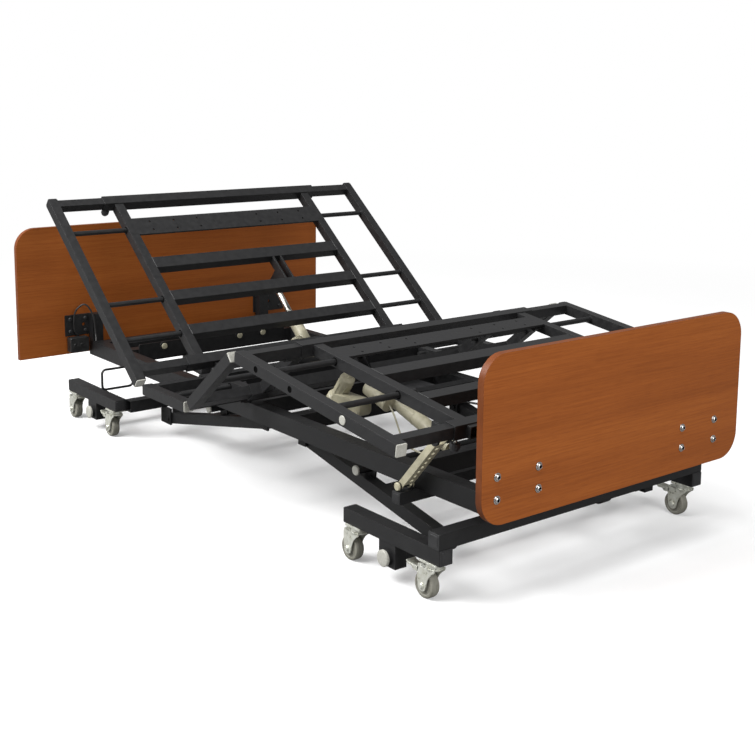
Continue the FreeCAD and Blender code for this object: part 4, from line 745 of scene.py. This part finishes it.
APRON_FACE = -0.8198
APRON_THICK = 0.0050
APRON_PLUGS = (-0.204, 0.104, 0.204)
APRON_PLUG_LEVEL = 0.2560
COLLAR = ((0.0165, -0.0004), (0.0165, 0.0022), (0.0155, 0.0030), (0.0110, 0.0030))

apron = Shape()
place = Matrix.Translation((APRON_FACE, 0, 0.2440)) @ basis((1, 0, 0))
slab(apron, rounded(0.600, 0.056, 0.004), APRON_THICK, place, 0.0008)
for across in APRON_PLUGS:
    lathe(apron, COLLAR, (APRON_FACE + APRON_THICK, across, APRON_PLUG_LEVEL), (1, 0, 0), 32)
    plug_at = (APRON_FACE + APRON_THICK + 0.0010, across, APRON_PLUG_LEVEL)
    lathe(apron, domed(0.0110, 0.0050, 0.0030), plug_at, (1, 0, 0), 28, 1)
apron.object("head_cross_apron", (POWDER, CREAM), "main")

# ------------------------------------------------------------------ upright motor on the knee actuator

GEAR_SPOT = Vector((0.196, -0.2000, 0.279))
BARREL_WAY = Vector((0.60, 0.0, 0.80)).normalized()
GEAR_CASE = ((0.0120, -0.0180), (0.0240, -0.0165), (0.0285, -0.0110), (0.0300, -0.0040), (0.0300, 0.0100),
             (0.0270, 0.0165), (0.0222, 0.0190))
BARREL = ((0.0222, 0.0180), (0.0222, 0.0300), (0.0208, 0.0312), (0.0208, 0.0760), (0.0222, 0.0772),
          (0.0222, 0.0880), (0.0208, 0.0935), (0.0150, 0.0965), (0.0060, 0.0970))
BARREL_TIP = ((0.0052, 0.0960), (0.0052, 0.0990), (0.0036, 0.1000), (0.0010, 0.1000))
CASE_SCREW = ((0.0040, -0.0004), (0.0040, 0.0014), (0.0028, 0.0022), (0.0008, 0.0022))
BARREL_RIBS = 6
RIB_LENGTH = 0.0400
NECK_FACE = -0.0220

upright = Shape()
lathe(upright, GEAR_CASE, GEAR_SPOT, BARREL_WAY, 40)
lathe(upright, BARREL, GEAR_SPOT, BARREL_WAY, 40)
lathe(upright, BARREL_TIP, GEAR_SPOT, BARREL_WAY, 16)
for number in range(BARREL_RIBS):
    rib = Matrix.Translation(GEAR_SPOT + BARREL_WAY * 0.054) @ basis(BARREL_WAY) \
        @ Matrix.Rotation(RUNNING_ROUND * number / BARREL_RIBS, 4, "Z") \
        @ Matrix.Translation((0.0212, 0.0, -RIB_LENGTH / 2))
    slab(upright, rounded(0.0030, 0.0040, 0.0010), RIB_LENGTH, rib, 0.0006)
neck = basis((0, 1, 0))
neck.translation = GEAR_SPOT + Vector((0.070, NECK_FACE, 0.002))
slab(upright, rounded(0.1240, 0.0480, 0.0180), 0.0500, neck, 0.0050)
for at in (0.010, 0.118):
    for up in (-0.012, 0.014):
        lathe(upright, CASE_SCREW, GEAR_SPOT + Vector((at, NECK_FACE, up)), (0, -1, 0), 14)
upright.object("knee_upright_motor", CREAM, "knee_actuator_body")

# ------------------------------------------------------------------ calf strut bosses

STRUT_FOOT = (0.745, 0.400, 0.217)
STRUT_HALF = 0.0198

for side_name, side in SIDES:
    boss = Shape()
    for face in (-1, 1):
        spot = (STRUT_FOOT[0], side * STRUT_FOOT[1] + face * STRUT_HALF, STRUT_FOOT[2])
        lathe(boss, domed(0.0105, 0.0048, 0.0026), spot, (0, face, 0), 28)
    boss.object(f"strut_boss_{side_name}", CREAM, "main")

# ------------------------------------------------------------------ cables

CORD_RADIUS = 0.0026
CABLE_RADIUS = 0.0032
# the knee cord hangs below the actuator: distance from the foot pin, then the offset from the actuator's line
CORD_POINTS = ((0.257, (0, -0.033, 0)), (0.227, (0, -0.037, -0.016)), (0.180, (0, -0.040, -0.060)),
               (0.120, (0, -0.038, -0.056)), (0.070, (0, -0.030, -0.038)), (0.045, (0, -0.012, -0.020)))

start, run = actuator_line("knee")
cord = Shape()
points = [start + run * at + Vector(offset) for at, offset in CORD_POINTS]
sweep(cord, smooth_path(points), CORD_RADIUS, 10)
cord.object("knee_actuator_cord", CREAM_CABLE, "knee_actuator_body")

# the loop at the near headboard bracket, then three cables that run to the actuators
CABLES = (
    [(-1.052, -0.400, 0.262), (-1.048, -0.430, 0.300), (-1.040, -0.430, 0.366), (-1.030, -0.398, 0.392),
     (-1.022, -0.372, 0.352), (-1.018, -0.366, 0.290), (-1.000, -0.372, 0.262)],
    [(-0.060, 0.150, 0.230), (-0.120, 0.150, 0.240), (-0.200, 0.200, 0.268), (-0.400, 0.300, 0.262),
     (-0.700, 0.322, 0.262), (-1.000, 0.322, 0.262)],
    [(0.166, 0.110, 0.215), (0.300, 0.060, 0.180), (0.470, -0.080, 0.190), (0.600, -0.200, 0.200),
     (0.690, -0.230, 0.215)],
    [(0.166, 0.180, 0.215), (0.300, 0.260, 0.214), (0.600, 0.318, 0.214), (0.900, 0.322, 0.214),
     (0.962, 0.150, 0.222)],
)
SOCKET_BOX = (-1.059, -0.420, 0.250)
SOCKET_BOX_DEEP = 0.030
SOCKET = ((0.0062, 0.0), (0.0062, 0.0060), (0.0045, 0.0062), (0.0042, 0.0030))

loops = Shape()
for points in CABLES:
    sweep(loops, smooth_path(points), CABLE_RADIUS, 10)
# the box at the near headboard bracket, with two sockets
place = Matrix.Translation(SOCKET_BOX) @ basis((1, 0, 0))
slab(loops, rounded(0.070, 0.052, 0.006), SOCKET_BOX_DEEP, place, 0.0020)
for across in (-0.437, -0.413):
    lathe(loops, SOCKET, (-1.030, across, SOCKET_BOX[2]), (1, 0, 0), 20)
loops.object("frame_cables", CABLE, "main")

# ------------------------------------------------------------------ weld beads

# cross bars of each section: place along it and half width
CROSS_BARS = {"back": ((-0.175, 0.020), (-0.320, 0.020), (-0.465, 0.0225)),
              "calf": ((0.290, 0.025), (0.470, 0.020)), "thigh": ((0.200, 0.015),),
              "seat": ((-0.120, 0.015),)}
FRAME_CROSSES = (-1.010, -0.840, -0.245, -0.012, 0.182, 0.705, 1.010)
FRAME_CROSS_HALF = 0.020
FRAME_WELD_LOW = 0.212
FRAME_WELD_HIGH = 0.254
LONG_BEAD = 0.0152
SHORT_BEAD = 0.013

for section, crosses in CROSS_BARS.items():
    beads = Shape()
    for at, half in crosses:
        for side in (-1, 1):
            across = side * SECTION_INNER_FACE
            for way in (-1, 1):
                for up in (-LONG_BEAD, LONG_BEAD):
                    weld(beads, placed(section, at - half, across, up),
                         placed(section, at + half, across, up))
                spot = at + way * half
                weld(beads, placed(section, spot, across, -SHORT_BEAD),
                     placed(section, spot, across, SHORT_BEAD))
    beads.object(f"{section}_welds", POWDER, SECTION_BODY[section])
beads = Shape()
for along in FRAME_CROSSES:
    for side in (-1, 1):
        for way in (-1, 1):
            x = along + way * FRAME_CROSS_HALF
            y = side * FRAME_INNER_FACE
            weld(beads, (x, y, FRAME_WELD_LOW), (x, y, FRAME_WELD_HIGH))
beads.object("frame_welds", POWDER, "main")
# the telescope bars of each wing; its guide rods are the ones that run through the bores above
SLIDES = {"back": (-0.758, -0.057), "seat": (), "thigh": (0.035, 0.265), "calf": (0.035, 0.640)}
RING_STEPS = 30
RING_RADIUS = 0.0088
RING_BEAD = 0.0016
SLIDE_HALF = 0.0140
SLIDE_BEAD = 0.012

for side_name, side in SIDES:
    across = side * WING_INNER_FACE
    for section, sleeves in SLIDES.items():
        beads = Shape()
        for at in GUIDES[section]:
            ring = []
            for i in range(RING_STEPS + 1):
                angle = RUNNING_ROUND * i / RING_STEPS
                ring.append(placed(section, at + RING_RADIUS * math.cos(angle), across,
                                   RING_RADIUS * math.sin(angle)))
            sweep(beads, ring, RING_BEAD, 6, swell=lambda i: 0.8 + 0.2 * (i % 2))
        for at in sleeves:
            for way in (-1, 1):
                spot = at + way * SLIDE_HALF
                weld(beads, placed(section, spot, across, -SLIDE_BEAD),
                     placed(section, spot, across, SLIDE_BEAD))
        wing = f"{section}_wing_{side_name}"
        beads.object(f"{section}_wing_welds_{side_name}", POWDER, wing)

# ------------------------------------------------------------------ floor, light and camera

# the camera sees a pale floor that fades to white further out; light bounces off a darker one
REACH = 30.0
FADE_START = 1.6
FADE_END = 5.0
SKY_LIGHT = 0.33

floor_mesh = bpy.data.meshes.new("studio_floor")
floor_mesh.from_pydata([(-REACH, -REACH, 0), (REACH, -REACH, 0), (REACH, REACH, 0), (-REACH, REACH, 0)], [],
                       [(0, 1, 2, 3)])
floor = bpy.data.objects.new("studio_floor", floor_mesh)
bpy.context.scene.collection.objects.link(floor)
paper, tree, shader = new_material("pale_floor")
shader.inputs["Roughness"].default_value = 0.9
tone = ramp(tree, noise(tree, 3.0).outputs["Fac"], [(0.3, (0.86, 0.86, 0.86)), (0.7, (0.88, 0.88, 0.88))])
tree.links.new(tone.outputs[0], shader.inputs["Base Color"])
far = tree.nodes.new("ShaderNodeEmission")
far.inputs["Color"].default_value = (1, 1, 1, 1)
where = tree.nodes.new("ShaderNodeTexCoord")
reach = tree.nodes.new("ShaderNodeVectorMath")
reach.operation = "LENGTH"
fade = tree.nodes.new("ShaderNodeMapRange")
fade.inputs["From Min"].default_value = FADE_START
fade.inputs["From Max"].default_value = FADE_END
fade.inputs["To Min"].default_value = 0.25
mixed = tree.nodes.new("ShaderNodeMixShader")
bounce = tree.nodes.new("ShaderNodeBsdfDiffuse")
bounce.inputs["Color"].default_value = (0.24, 0.24, 0.24, 1)
seen = tree.nodes.new("ShaderNodeLightPath")
chosen = tree.nodes.new("ShaderNodeMixShader")
tree.links.new(where.outputs["Object"], reach.inputs[0])
tree.links.new(reach.outputs["Value"], fade.inputs[0])
tree.links.new(fade.outputs[0], mixed.inputs[0])
tree.links.new(shader.outputs[0], mixed.inputs[1])
tree.links.new(far.outputs[0], mixed.inputs[2])
tree.links.new(seen.outputs["Is Camera Ray"], chosen.inputs[0])
tree.links.new(bounce.outputs[0], chosen.inputs[1])
tree.links.new(mixed.outputs[0], chosen.inputs[2])
tree.links.new(chosen.outputs[0], tree.nodes["Material Output"].inputs[0])
floor_mesh.materials.append(paper)
# the wheels stand on the floor at every height of the lift
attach(floor, "foot_base")

world = bpy.data.worlds.new("studio")
bpy.context.scene.world = world
world.use_nodes = True
sky = world.node_tree.nodes
sky.clear()
out = sky.new("ShaderNodeOutputWorld")
glow = sky.new("ShaderNodeBackground")
glow.inputs[0].default_value = (1, 1, 1, 1)
rays = sky.new("ShaderNodeLightPath")
level = sky.new("ShaderNodeMapRange")
level.inputs["To Min"].default_value = SKY_LIGHT
level.inputs["To Max"].default_value = 1.0
world.node_tree.links.new(rays.outputs["Is Camera Ray"], level.inputs[0])
world.node_tree.links.new(level.outputs[0], glow.inputs[1])
world.node_tree.links.new(glow.outputs[0], out.inputs[0])


def light(name, kind, strength, spot, target, size):
    """A lamp at a spot, aimed at a target. size is width and height, or an angle for a sun."""
    data = bpy.data.lights.new(name, kind)
    data.energy = strength
    if kind == "AREA":
        data.shape = "RECTANGLE"
        data.size, data.size_y = size
    else:
        data.angle = math.radians(size)
    made = bpy.data.objects.new(name, data)
    bpy.context.scene.collection.objects.link(made)
    made.location = spot
    made.rotation_mode = "QUATERNION"
    made.rotation_quaternion = (Vector(target) - Vector(spot)).to_track_quat("-Z", "Y")


light("key", "AREA", 350.0, (-1.1, -3.2, 3.3), (0.1, 0, 0.3), (3.4, 2.4))
light("front", "AREA", 92.0, (4.2, -0.6, 1.9), (0.8, 0, 0.4), (2.4, 2.0))
light("top", "SUN", 1.6, (0.5, -1.0, 5.0), (0, 0, 0), 35.0)

# the camera stands past the foot end on the near side and looks slightly down
EYE = (2.90193, -2.19328, 1.17702)
YAW = 0.6739
PITCH = 0.1514
ROLL = -0.0094

lens = bpy.data.cameras.new("photo_view")
camera = bpy.data.objects.new("photo_view", lens)
bpy.context.scene.collection.objects.link(camera)
ahead = Vector((-math.cos(YAW) * math.cos(PITCH), math.sin(YAW) * math.cos(PITCH), -math.sin(PITCH)))
level_right = ahead.cross(Vector((0, 0, 1))).normalized()
right = level_right * math.cos(ROLL) - level_right.cross(ahead) * math.sin(ROLL)
upward = right.cross(ahead)
camera.matrix_world = Matrix.Translation(EYE) @ Matrix((right, upward, -ahead)).transposed().to_4x4()
lens.sensor_width = 36.0
lens.lens = 57.70
lens.shift_x, lens.shift_y = -0.0078, -0.1471
lens.clip_start, lens.clip_end = 0.05, 200.0
bpy.context.scene.camera = camera
bpy.context.scene.view_settings.view_transform = "Standard"
